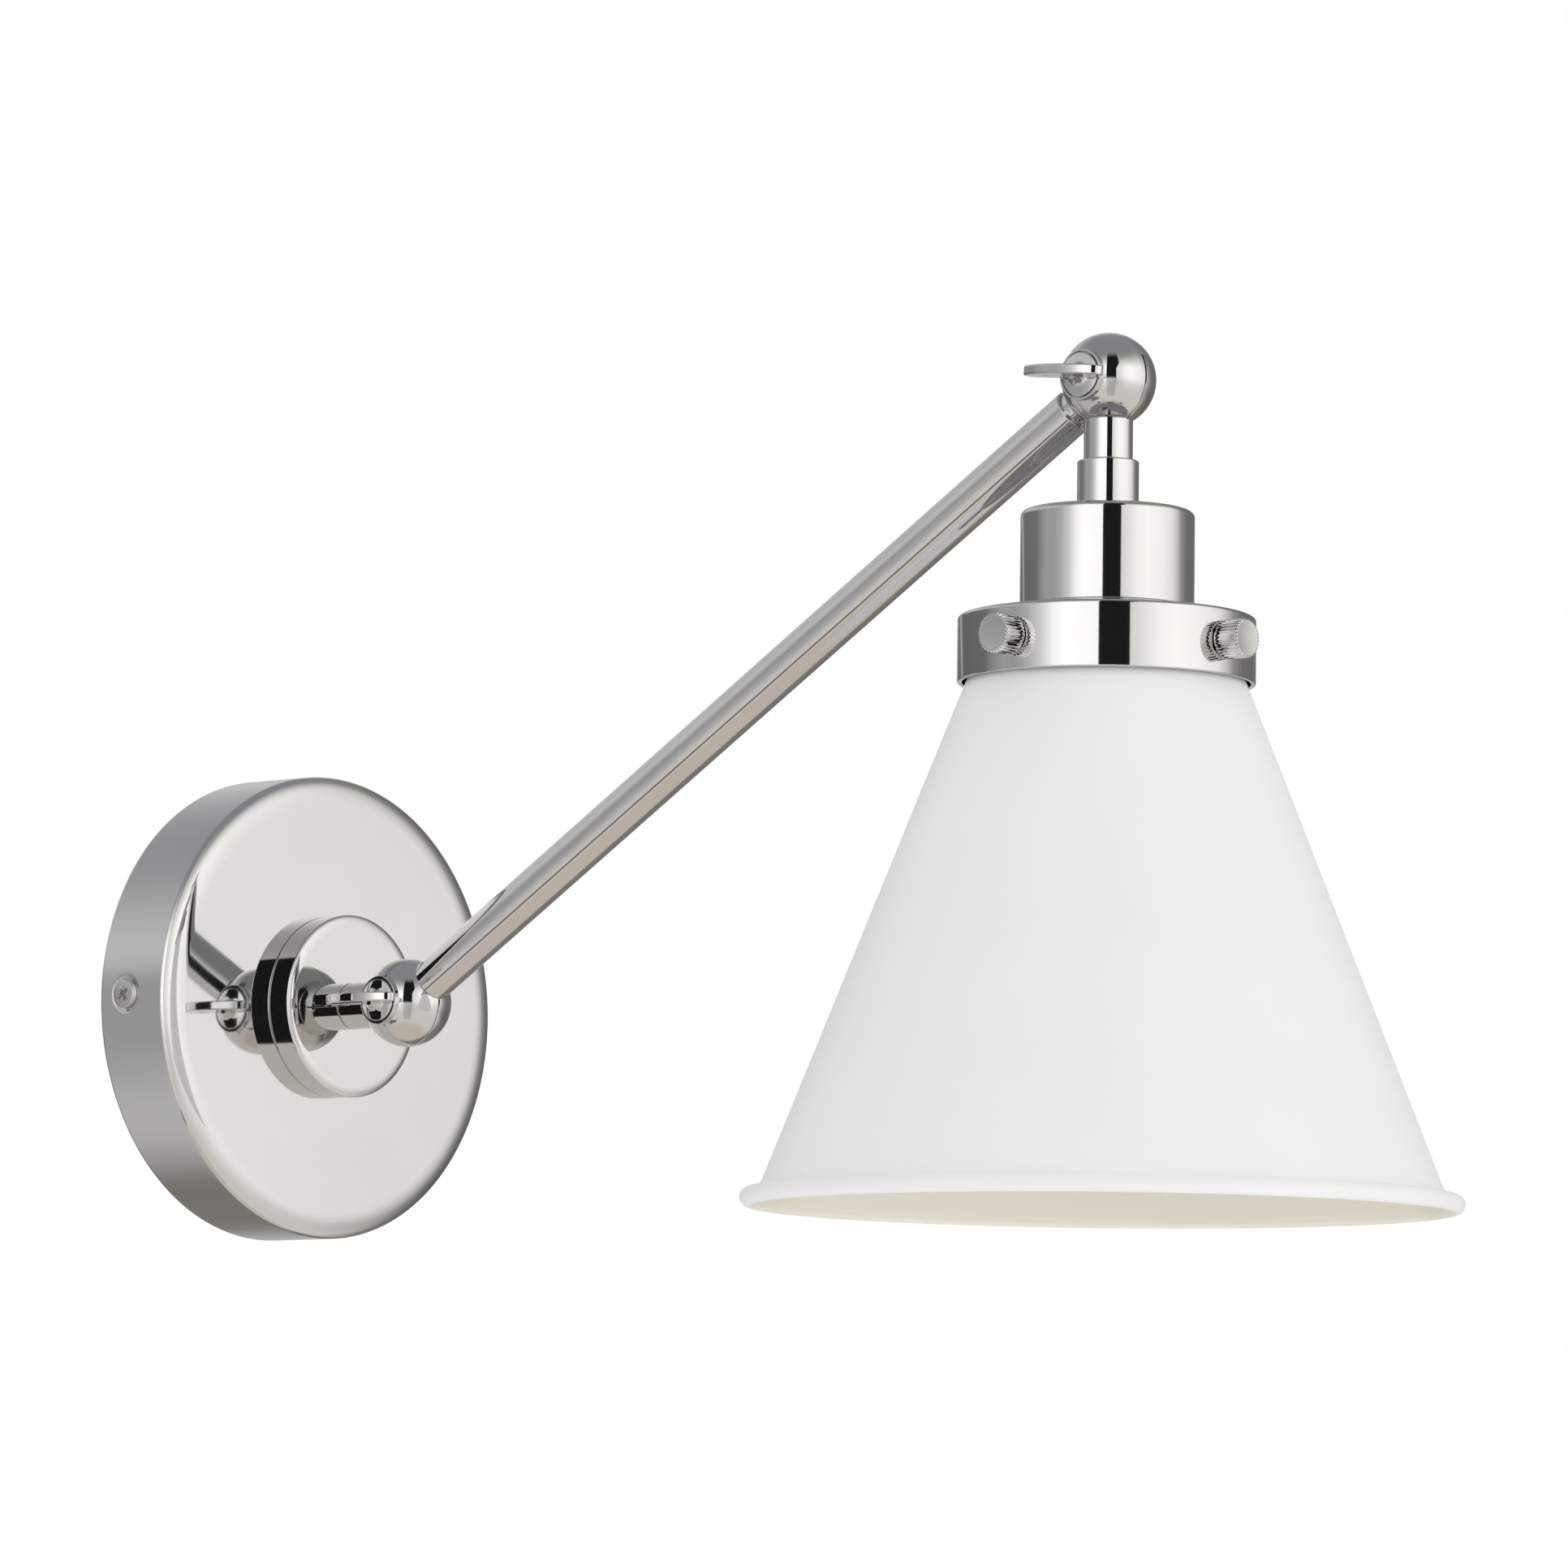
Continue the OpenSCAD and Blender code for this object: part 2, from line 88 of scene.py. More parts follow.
plate_r = span("backplate")[1].x
plate_depth = -span("backplate")[0].y
plate_wall = 1.4
hub_r = span("hub_disc")[1].x
hub_face = -span("hub_disc")[0].y
ball_r = span("lower_knuckle_cap")[1].x
ball_wall = 2.0
half_gap = 0.15
ball_low = math.degrees(math.asin(0.28 / ball_r))
ball_rim = [(ball_r - ball_wall, half_gap), (ball_r - 0.16, half_gap)]
boss_r = 6.6
boss_x = -span("stem_knuckle")[0].x
bore_r = 3.4
stem_r = 6.4
neck_r = 6.2
arm_r = span("arm_tube")[1].x
arm_wall = 0.9
stub_r = 4.85
stub_len = 22
slip = 0.03
nipple_r = 4.85
nipple_hole = 4.9
coupling_r = span("neck_coupling")[1].x
coupling_top = span("neck_coupling")[1].z
cup_top = span("socket_cup")[1].z
cup_r = span("socket_cup")[1].x
collar_top = span("shade_collar")[1].z
collar_bottom = span("shade_collar")[0].z
collar_r = span("shade_collar")[1].x
thumb_z = (span("thumbscrew_right")[0].z + span("thumbscrew_right")[1].z) / 2
thumb_r = (span("thumbscrew_right")[1].z - span("thumbscrew_right")[0].z) / 2
thumb_end = span("thumbscrew_right")[1].x
rim_r = span("shade")[1].x
bead_r = 2.3
bead_z = span("shade")[0].z + bead_r
bead_c = rim_r - bead_r
canopy_seat = plate_r - 0.45
canopy_head_h = span("canopy_screw_right")[1].x - canopy_seat
canopy_screw_z = -(span("canopy_screw_right")[0].y + span("canopy_screw_right")[1].y) / 2

# Outlines -------------------------------------------------------------------


def arc(cr, cz, radius, a0, a1, step=6.0):
    """Points of an arc in an outline, from angle a0 to a1 in degrees."""
    count = max(2, math.ceil(abs(a1 - a0) / step))
    angles = [math.radians(a0 + (a1 - a0) * i / count) for i in range(count + 1)]
    return [(cr + radius * math.cos(a), cz + radius * math.sin(a)) for a in angles]


def rounded(corners, step=10.0, hold=0.12):
    """A closed outline from (radius, height, fillet) corners, with a support point beside each fillet."""
    made = []
    count = len(corners)
    for i, (r, z, fillet) in enumerate(corners):
        p = Vector((r, z))
        if fillet <= 0:
            made.append((r, z))
            continue
        back = Vector(corners[i - 1][:2]) - p
        ahead = Vector(corners[(i + 1) % count][:2]) - p
        u, v = back.normalized(), ahead.normalized()
        half = u.angle(v) / 2
        cut = fillet / math.tan(half)
        centre = p + (u + v).normalized() * (fillet / math.sin(half))
        a = p + u * cut - centre
        b = p + v * cut - centre
        turn = a.angle_signed(b)
        pieces = max(2, math.ceil(math.degrees(abs(turn)) / step))
        if back.length > cut + 2 * hold:
            made.append(tuple(p + u * (cut + hold)))
        for k in range(pieces + 1):
            made.append(tuple(centre + Matrix.Rotation(-turn * k / pieces, 2) @ a))
        if ahead.length > cut + 2 * hold:
            made.append(tuple(p + v * (cut + hold)))
    return made


def pillow(radius, top, inward, down):
    """Points of a soft front edge, from the side to the face.

    Between two slopes it turns at once, so that no wide stretch of the edge mirrors a dark line.
    """
    power, count = 2.25, 40
    steep, shallow = 58, 36
    made = []
    for k in range(count + 1):
        t = math.pi / 2 * k / count
        r = radius - inward + inward * math.cos(t) ** (2 / power)
        made.append((r, top - down + down * math.sin(t) ** (2 / power)))
    slope = [math.degrees(math.atan2(b[1] - a[1], a[0] - b[0])) for a, b in zip(made, made[1:])]
    last = max(k for k in range(count) if slope[k] > steep)
    first = min(k for k in range(count) if slope[k] < shallow)
    a, b = Vector(made[last]), Vector(made[last + 1])
    c, d = Vector(made[first]), Vector(made[first + 1])
    across = (b - a).cross(d - c)
    corner = a + (b - a) * ((c - a).cross(d - c) / across)
    turn = rounded([(*b, 0), (*corner, 0.25), (*c, 0)], 6, 0.05)
    return made[:last + 1] + turn + made[first + 1:]


def rows(z0, z1, pitch):
    """Heights from z0 to z1 about a pitch apart, both ends left out."""
    count = max(1, round(abs(z1 - z0) / pitch))
    return [z0 + (z1 - z0) * i / count for i in range(1, count)]


# Meshes ---------------------------------------------------------------------

soft_angle = 35.0
on_axis = 1e-6


def soft_normals(points, faces, angle):
    """Corner normals that are smooth except where faces meet at more than this angle."""
    mesh = bpy.data.meshes.new("soft")
    mesh.from_pydata([tuple(p) for p in points], [], faces, shade_flat=False)
    mesh.set_sharp_from_angle(angle=math.radians(angle))
    found = np.array([n.vector[:] for n in mesh.corner_normals])
    bpy.data.meshes.remove(mesh)
    return found


def revolve(profile, steps=160, angles=None, wave=None, paint=None):
    """An outline turned about Z: (points, faces, corner normals or None, material index per face).

    A wave moves points by their angle, and its normals are left to soft_normals.
    Paint picks a face's material.
    """
    p = np.array(profile, float)
    n = len(p)
    if angles is None:
        angles = [2 * math.pi * k / steps for k in range(steps)]
    angles = np.array(angles)
    steps = len(angles)
    side = np.roll(p, -1, 0) - p
    length = np.hypot(side[:, 0], side[:, 1])
    onaxis = p[:, 0] < on_axis
    live = ~(onaxis & np.roll(onaxis, -1)) & (length > 1e-9)
    normal = np.stack([side[:, 1], -side[:, 0]], 1) / np.maximum(length, 1e-9)[:, None]
    start, end = normal.copy(), normal.copy()
    for i in range(n):
        a = i - 1
        if onaxis[i]:
            for ends, k in ((end, a), (start, i)):
                if live[k] and abs(normal[k][1]) > 0.9:
                    ends[k] = (0, math.copysign(1, normal[k][1]))
            continue
        if live[a] and live[i] and normal[a] @ normal[i] > math.cos(math.radians(soft_angle)):
            both = normal[a] * length[a] + normal[i] * length[i]
            end[a] = start[i] = both / np.linalg.norm(both)
    points, index = [], []
    for i in range(n):
        if onaxis[i]:
            index.append([len(points)] * steps)
            points.append((0.0, 0.0, p[i][1]))
            continue
        index.append(list(range(len(points), len(points) + steps)))
        for t in angles:
            r, z = (p[i][0], p[i][1]) if wave is None else wave(p[i][0], p[i][1], t)
            points.append((r * math.cos(t), r * math.sin(t), z))
    cos, sin = np.cos(angles), np.sin(angles)
    faces, normals, slots = [], [], []
    for i in range(n):
        j = (i + 1) % n
        if not live[i]:
            continue
        slot = paint((p[i] + p[j]) / 2, normal[i]) if paint else 0
        for k in range(steps):
            m = (k + 1) % steps
            at_i = (start[i][0] * cos[k], start[i][0] * sin[k], start[i][1])
            at_im = (start[i][0] * cos[m], start[i][0] * sin[m], start[i][1])
            at_jm = (end[i][0] * cos[m], end[i][0] * sin[m], end[i][1])
            at_j = (end[i][0] * cos[k], end[i][0] * sin[k], end[i][1])
            if onaxis[i]:
                faces.append((index[i][0], index[j][m], index[j][k]))
                normals += [at_i, at_jm, at_j]
            elif onaxis[j]:
                faces.append((index[i][k], index[i][m], index[j][0]))
                normals += [at_i, at_im, at_j]
            else:
                faces.append((index[i][k], index[i][m], index[j][m], index[j][k]))
                normals += [at_i, at_im, at_jm, at_j]
            slots.append(slot)
    return points, faces, (None if wave else normals), slots


class Shape:
    """Shells in millimetres, each placed by a matrix, that become one object in metres."""

    def __init__(self):
        self.points, self.faces, self.normals, self.slots = [], [], [], []

    def add(self, shell, place=Matrix.Identity(4), slot=0, angle=soft_angle):
        points, faces, normals, slots = shell
        if normals is None:
            normals = soft_normals(points, faces, angle)
        turn = np.array(place.to_3x3())
        base = len(self.points)
        moved = np.array(points) @ turn.T + np.array(place.translation)
        self.points.extend(map(tuple, moved))
        self.faces.extend(tuple(v + base for v in f) for f in faces)
        self.normals.extend(map(tuple, np.array(normals) @ turn.T))
        self.slots.extend(s + slot for s in slots)
        return self

    def make(self, name, body, stands_for, slot, materials):
        mesh = bpy.data.meshes.new(name)
        scaled = [tuple(c * MM for c in p) for p in self.points]
        mesh.from_pydata(scaled, [], self.faces, shade_flat=False)
        mesh.polygons.foreach_set("material_index", self.slots)
        for material in materials:
            mesh.materials.append(material)
        mesh.normals_split_custom_set(self.normals)
        mesh.update()
        obj = bpy.data.objects.new(name, mesh)
        bpy.context.scene.collection.objects.link(obj)
        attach(obj, body)
        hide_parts(*stands_for)


def oval_plate(a, b, thick, edge):
    """A flat oval on the XY plane, long along Y, with rounded edges and faces that sink a little inward."""
    half = thick / 2
    dish, dish_width, flat = 0.10, 2.6, 0.15
    inward = [edge + flat, 1.4, dish_width, 3.6]
    quarter = [math.radians(15 * k) for k in range(7)]

    def face(d):
        return half - dish * min(1, (d - edge) / dish_width)

    section = [(d, -face(d)) for d in reversed(inward)]
    section += [(edge - edge * math.sin(t), -half + edge - edge * math.cos(t)) for t in quarter]
    section += [(0.0, z) for z in (-half + edge + flat, 0.0, half - edge - flat)]
    section += [(edge - edge * math.cos(t), half - edge + edge * math.sin(t)) for t in quarter]
    section += [(d, face(d)) for d in inward]
    steps = 144
    points = []
    for d, z in section:
        for k in range(steps):
            t = 2 * math.pi * k / steps
            nx, ny = math.cos(t) / b, math.sin(t) / a
            size = math.hypot(nx, ny)
            points.append((b * math.cos(t) - d * nx / size, a * math.sin(t) - d * ny / size, z))
    faces = []
    for i in range(len(section) - 1):
        for k in range(steps):
            m = (k + 1) % steps
            faces.append((i * steps + k, i * steps + m, (i + 1) * steps + m, (i + 1) * steps + k))
    low, high = len(points), len(points) + 1
    last = (len(section) - 1) * steps
    points += [(0, 0, section[0][1]), (0, 0, section[-1][1])]
    for k in range(steps):
        m = (k + 1) % steps
        faces.append((low, m, k))
        faces.append((high, last + k, last + m))
    return points, faces, None, [0] * len(faces)


def rod(path, radius, sides=16):
    """A closed round rod along a list of points, its ends slightly domed."""
    path = [Vector(p) for p in path]
    points = []
    dome = 0.82
    up = Vector((0.31, 0.17, 0.93))
    for i, p in enumerate(path):
        d = (path[min(i + 1, len(path) - 1)] - path[max(i - 1, 0)]).normalized()
        a = d.cross(up).normalized()
        b = d.cross(a)
        up = a.cross(d)
        size = radius * (dome if i in (0, len(path) - 1) else 1.0)
        for k in range(sides):
            t = 2 * math.pi * k / sides
            points.append(p + a * (size * math.cos(t)) + b * (size * math.sin(t)))
    faces = []
    for i in range(len(path) - 1):
        for k in range(sides):
            m = (k + 1) % sides
            faces.append((i * sides + k, (i + 1) * sides + k, (i + 1) * sides + m, i * sides + m))
    faces.append(tuple(range(sides)))
    last = (len(path) - 1) * sides
    faces.append(tuple(last + k for k in reversed(range(sides))))
    return [tuple(p) for p in points], faces, None, [0] * len(faces)


def cut_cross(shell, size, depth, top):
    """The shell with a tapered cross recess cut into its top at height top."""

    def block(turn):
        half, tip, wide, narrow = size / 2, size / 4, size / 7, size / 12
        low, high = top - depth, top + 0.15
        ring = [(-half, -wide, high), (half, -wide, high), (half, wide, high), (-half, wide, high),
                (-tip, -narrow, low), (tip, -narrow, low), (tip, narrow, low), (-tip, narrow, low)]
        turned = [tuple(Matrix.Rotation(turn, 3, "Z") @ Vector(p)) for p in ring]
        return turned, [(0, 1, 2, 3), (7, 6, 5, 4), (0, 4, 5, 1), (1, 5, 6, 2), (2, 6, 7, 3), (3, 7, 4, 0)]

    made = []
    sources = [shell[:2], block(0.0), block(math.pi / 2)]
    for i, (points, faces) in enumerate(sources):
        mesh = bpy.data.meshes.new(f"cut{i}")
        mesh.from_pydata([tuple(p) for p in points], [], [tuple(f) for f in faces])
        obj = bpy.data.objects.new(f"cut{i}", mesh)
        bpy.context.scene.collection.objects.link(obj)
        made.append(obj)
    for cutter in made[1:]:
        boolean = made[0].modifiers.new("cut", "BOOLEAN")
        boolean.operation = "DIFFERENCE"
        boolean.solver = "EXACT"
        boolean.object = cutter
    graph = bpy.context.evaluated_depsgraph_get()
    result = made[0].evaluated_get(graph).to_mesh()
    points = [tuple(v.co) for v in result.vertices]
    faces = [tuple(f.vertices) for f in result.polygons]
    made[0].evaluated_get(graph).to_mesh_clear()
    for obj in made:
        mesh = obj.data
        bpy.data.objects.remove(obj)
        bpy.data.meshes.remove(mesh)
    return points, faces, None, [0] * len(faces)


def threaded(radius, pitch, depth, z0, z1, bore, steps=64):
    """A hollow threaded tube on Z: the thread is one helix, faded out at both ends."""
    heights = [z0] + rows(z0, z1, pitch / 7) + [z1]
    profile = [(bore, z0)] + [(radius, z) for z in heights] + [(bore, z1)]

    def wave(r, z, t):
        if r < radius:
            return r, z
        phase = (z / pitch - t / (2 * math.pi)) % 1.0
        groove = 0.5 + 0.5 * math.cos(2 * math.pi * phase)
        fade = min(1.0, (z - z0) / pitch + 0.35, (z1 - z) / pitch + 0.35)
        return r - depth * (1 - fade * (1 - groove)), z

    return revolve(profile, steps=steps, wave=wave)


def hex_nut(flat, height, bore):
    """A hexagon nut on Z with chamfered corners on both faces."""
    corner = flat / math.cos(math.pi / 6)
    lead_in = 0.5
    near_face = [0, 0.15, 0.3, 0.5, 0.75, 1.0]
    heights = near_face + [height / 2] + [height - h for h in reversed(near_face)]
    profile = [(bore, lead_in), (bore + lead_in, 0), (flat - 0.1, 0)] + [(corner, h) for h in heights]
    profile += [(flat - 0.1, height), (bore + lead_in, height), (bore, height - lead_in)]

    def wave(r, z, t):
        if r < corner - on_axis:
            return r, z
        local = (t + math.pi / 6) % (math.pi / 3) - math.pi / 6
        side = flat / math.cos(local)
        away = min(z, height - z)
        return min(side, flat + 0.02 + away * 1.6), z

    return revolve(profile, steps=144, wave=wave)


# Materials ------------------------------------------------------------------


class Finish:
    """A node material on the Principled shader, with helpers for procedural detail in object space."""

    def __init__(self, name):
        self.material = bpy.data.materials.new(name)
        self.material.use_nodes = True
        self.tree = self.material.node_tree
        self.shader = next(n for n in self.tree.nodes if n.type == "BSDF_PRINCIPLED")
        self.where = self.tree.nodes.new("ShaderNodeTexCoord").outputs["Object"]

    def set(self, **values):
        for key, value in values.items():
            self.shader.inputs[key.replace("_", " ")].default_value = value
        return self

    def link(self, a, b):
        self.tree.links.new(a, b)

    def stretched(self, scale):
        mapping = self.tree.nodes.new("ShaderNodeMapping")
        mapping.inputs["Scale"].default_value = scale
        self.link(self.where, mapping.inputs["Vector"])
        return mapping.outputs["Vector"]

    def noise(self, scale, detail=4.0, rough=0.55, vector=None):
        node = self.tree.nodes.new("ShaderNodeTexNoise")
        node.inputs["Scale"].default_value = scale
        node.inputs["Detail"].default_value = detail
        node.inputs["Roughness"].default_value = rough
        self.link(vector or self.where, node.inputs["Vector"])
        return node.outputs["Fac"]

    def ramp(self, value, stops):
        node = self.tree.nodes.new("ShaderNodeValToRGB")
        ramp = node.color_ramp
        while len(ramp.elements) < len(stops):
            ramp.elements.new(0.5)
        for element, (position, colour) in zip(ramp.elements, stops):
            element.position = position
            element.color = (*colour, 1)
        self.link(value, node.inputs["Fac"])
        return node.outputs["Color"]

    def range(self, value, low, high, start=0.3, stop=0.7):
        node = self.tree.nodes.new("ShaderNodeMapRange")
        node.inputs["From Min"].default_value = start
        node.inputs["From Max"].default_value = stop
        node.inputs["To Min"].default_value = low
        node.inputs["To Max"].default_value = high
        self.link(value, node.inputs["Value"])
        return node.outputs["Result"]

    def mix(self, factor, a, b):
        node = self.tree.nodes.new("ShaderNodeMix")
        node.data_type = "RGBA"
        for socket, value in ((node.inputs["Factor"], factor), (node.inputs["A"], a), (node.inputs["B"], b)):
            if isinstance(value, tuple):
                socket.default_value = (*value, 1)
            else:
                self.link(value, socket)
        return node.outputs["Result"]

    def colour(self, socket):
        self.link(socket, self.shader.inputs["Base Color"])

    def rough(self, socket):
        self.link(socket, self.shader.inputs["Roughness"])

    def bump(self, height, distance, strength):
        node = self.tree.nodes.new("ShaderNodeBump")
        node.inputs["Strength"].default_value = strength
        node.inputs["Distance"].default_value = distance
        before = self.shader.inputs["Normal"]
        if before.is_linked:
            self.link(before.links[0].from_socket, node.inputs["Normal"])
        self.link(height, node.inputs["Height"])
        self.link(node.outputs["Normal"], before)


def make_nickel():
    f = Finish("polished_nickel").set(Metallic=1.0)
    broad = f.noise(14, 3)
    fine = f.noise(170, 6, 0.6)
    base = f.ramp(broad, [(0.30, (0.69, 0.684, 0.674)), (0.70, (0.73, 0.724, 0.714))])
    f.colour(f.mix(f.range(fine, 0.0, 0.12, 0.5, 0.85), base, (0.66, 0.648, 0.625)))
    haze = f.noise(38, 4, 0.5)
    hairline = f.noise(900, 2, 0.5, f.stretched((1, 0.04, 1)))
    rough = f.tree.nodes.new("ShaderNodeMath")
    rough.operation = "ADD"
    f.link(f.range(haze, 0.030, 0.060), rough.inputs[0])
    f.link(f.range(hairline, 0.0, 0.015, 0.55, 0.8), rough.inputs[1])
    f.rough(rough.outputs["Value"])
    f.bump(f.noise(60, 1, 0.4), 0.00001, 0.8)
    return f.material


def make_satin(name, dark, light, scale, low, high, grain):
    """A plain metal finish: colour drift, uneven gloss and a fine directional grain."""
    f = Finish(name).set(Metallic=1.0)
    f.colour(f.ramp(f.noise(scale, 6, 0.65), [(0.32, dark), (0.68, light)]))
    f.rough(f.range(f.noise(scale * 2.3, 7, 0.6), low, high))
    f.bump(f.noise(1300, 3, 0.6, f.stretched(grain)), 0.00002, 0.6)
    return f.material


def make_white():
    f = Finish("white_powder_coat").set(IOR=1.45)
    f.colour(f.ramp(f.noise(22, 5), [(0.3, (0.815, 0.817, 0.815)), (0.7, (0.835, 0.836, 0.833))]))
    f.rough(f.range(f.noise(60, 6), 0.50, 0.60))
    f.bump(f.noise(1100, 3, 0.5), 0.00003, 0.5)
    f.bump(f.noise(160, 2, 0.5), 0.00003, 0.4)
    return f.material


def make_cream():
    f = Finish("warm_white_inside").set(IOR=1.45)
    f.colour(f.ramp(f.noise(26, 5), [(0.3, (0.80, 0.755, 0.66)), (0.7, (0.825, 0.78, 0.69))]))
    f.rough(f.range(f.noise(70, 6), 0.42, 0.55))
    f.bump(f.noise(1000, 3, 0.5), 0.00003, 0.6)
    return f.material


def make_moulded(name, dark, light, low, high, grit):
    """Moulded plastic or rubber: slight colour drift, a fine grit and scuffs in its gloss."""
    f = Finish(name).set(IOR=1.5)
    f.colour(f.ramp(f.noise(60, 6, 0.6), [(0.3, dark), (0.7, light)]))
    f.rough(f.range(f.noise(120, 7, 0.65), low, high))
    f.bump(f.noise(1500, 3, 0.6), grit, 0.6)
    return f.material


def make_opal():
    f = Finish("frosted_glass").set(IOR=1.5, Transmission_Weight=0.30)
    f.colour(f.ramp(f.noise(40, 4), [(0.3, (0.93, 0.92, 0.89)), (0.7, (0.96, 0.95, 0.92))]))
    f.rough(f.range(f.noise(90, 5), 0.34, 0.46))
    f.bump(f.noise(2200, 2, 0.5), 0.00001, 0.5)
    return f.material


nickel = make_nickel()
white = make_white()
cream = make_cream()
zinc = make_satin("zinc_plate", (0.50, 0.52, 0.55), (0.66, 0.67, 0.69), 55, 0.26, 0.42, (0.08, 1, 1))
steel = make_satin("bright_steel", (0.56, 0.56, 0.57), (0.68, 0.68, 0.69), 80, 0.20, 0.34, (1, 1, 0.1))
dull_nickel = make_satin(
    "unpolished_nickel", (0.47, 0.46, 0.44), (0.60, 0.59, 0.57), 45, 0.34, 0.50, (1, 0.08, 1))
satin_nickel = make_satin(
    "satin_nickel", (0.64, 0.63, 0.62), (0.71, 0.70, 0.69), 150, 0.20, 0.28, (1, 0.1, 1))
brass = make_satin("plain_brass", (0.62, 0.45, 0.20), (0.78, 0.62, 0.32), 70, 0.20, 0.38, (1, 1, 0.2))
green = make_satin("green_dyed_steel", (0.04, 0.26, 0.09), (0.09, 0.38, 0.15), 90, 0.30, 0.45, (1, 1, 1))
phenolic = make_moulded("black_phenolic", (0.012, 0.011, 0.011), (0.026, 0.024, 0.023), 0.30, 0.48, 0.00002)
fibre = make_moulded("grey_fibre", (0.030, 0.028, 0.026), (0.065, 0.060, 0.055), 0.70, 0.85, 0.00005)
rubber_black = make_moulded(
    "black_insulation", (0.012, 0.012, 0.013), (0.026, 0.026, 0.028), 0.42, 0.58, 0.00002)
rubber_white = make_moulded("white_insulation", (0.68, 0.67, 0.64), (0.78, 0.77, 0.74), 0.42, 0.58, 0.00002)
black_glass = make_moulded("black_glass", (0.008, 0.008, 0.010), (0.020, 0.020, 0.024), 0.06, 0.16, 0.00001)
opal = make_opal()
copper = make_satin("bare_copper", (0.62, 0.30, 0.18), (0.82, 0.46, 0.30), 120, 0.22, 0.36, (1, 1, 0.2))

# Wall side ------------------------------------------------------------------


def dimpled(r, z, t):
    """The backplate's wall, pressed in round the two canopy screws."""
    if r < plate_r - 3.5:
        return r, z
    side = math.atan2(math.sin(t), abs(math.cos(t)))
    away = math.hypot(z - canopy_screw_z, plate_r * side)
    outer, width, depth = 5.4, 1.3, 0.5
    share = min(1.0, max(0.0, (outer - away) / width))
    return r - depth * share * share * (3 - 2 * share), z


def fine_near_sides():
    """Angles round the backplate, closer together round the two canopy screws."""
    near = [math.radians(0.42 * k) for k in range(-16, 17)]
    wide = [math.radians(d) for d in np.linspace(8, 172, 104)]
    found = near + wide + [math.pi + a for a in near] + [math.pi + a for a in wide]
    return sorted(a % (2 * math.pi) for a in found)


def make_backplate():
    inner = plate_r - plate_wall
    ceiling = plate_depth - plate_wall
    side_top, hole, bend = 20.0, 5.2, 1.6
    outline = [(inner, 0.3), (inner + 0.3, 0.0), (plate_r - 0.35, 0.0), (plate_r - 0.1, 0.1), (plate_r, 0.35)]
    outline += [(plate_r, z) for z in rows(0.35, side_top, 0.42)]
    outline += [(plate_r, side_top)]
    outline += pillow(plate_r, plate_depth, 7.5, 3.0)
    outline += [(50.0, plate_depth), (40.0, plate_depth), (hole, plate_depth)]
    outline += [(hole, ceiling), (inner - bend - 0.2, ceiling)]
    outline += arc(inner - bend, ceiling - bend, bend, 90, 0, 12)
    outline += [(inner, side_top)] + [(inner, z) for z in rows(side_top, 0.3, 0.8)]

    def paint(middle, normal):
        inside = hole + 0.1 < middle[0] < inner + 0.1 and middle[1] < ceiling + 0.1
        return 1 if inside and min(normal) < -0.3 else 0

    shell = revolve(outline, angles=fine_near_sides(), wave=dimpled, paint=paint)
    pan = Shape().add(shell, from_wall)
    pan.make("backplate_shell", "wall_mount", ["backplate"], "nickel", [nickel, dull_nickel])


def make_hub():
    hole, foot, edge = 4.95, plate_depth + 0.02, 0.45
    outline = [(hole, foot), (hub_r - edge - 0.1, foot)]
    outline += arc(hub_r - edge, foot + edge, edge, -80, 0, 12)
    outline += pillow(hub_r, hub_face, 3.2, 1.0) + [(12.0, hub_face), (hole, hub_face)]
    shell = revolve(outline, 224)
    Shape().add(shell, from_wall).make("hub_turned_disc", "wall_mount", ["hub_disc"], "nickel", [nickel])


def pan_head(head_r, head_h, recess):
    """A pan head on local zero with a rounded edge and a cross recess."""
    fillet = 0.3
    outline = [(0, 0), (head_r - 0.1, 0), (head_r, 0.12), (head_r, head_h - fillet - 0.12)]
    outline += arc(head_r - fillet, head_h - 0.1 - fillet, fillet, 0, 84, 9)
    outline += [(head_r * 0.45, head_h), (0, head_h)]
    return cut_cross(revolve(outline, 96), recess, 1.2, head_h)


def machine_thread(tip):
    """The threaded shank of a screw, from its tip up into its head."""
    return threaded(1.9, 0.8, 0.22, tip, 0.3, 0.0, 32)


def make_screws():
    head = pan_head(3.9, canopy_head_h, 4.4)
    for side, turn, where in ((-1, to_left, "left"), (1, to_right, "right")):
        node = "canopy_screw_" + where
        seat = Matrix.Translation((side * canopy_seat, -canopy_screw_z, 0)) @ turn
        spin = Matrix.Rotation(math.radians(45 + 8 * side), 4, "Z")
        shape = Shape().add(head, seat @ spin, angle=32)
        shape.add(machine_thread(-9.0), seat, 1)
        shape.make(node + "_cross_head", "wall_mount", [node], "nickel", [satin_nickel, steel])
    low, high = span("ground_screw")
    x = (low.x + high.x) / 2
    seat = from_wall @ Matrix.Translation((x, 0, 2.0))
    shape = Shape().add(pan_head(4.5, 2.6, 5.0), seat @ Matrix.Rotation(0.5, 4, "Z"), angle=32)
    shape.add(machine_thread(-1.8), seat)
    shape.make("ground_screw_cross_head", "wall_mount", ["ground_screw"], "ground_green", [green])


# Knuckles and keys ----------------------------------------------------------


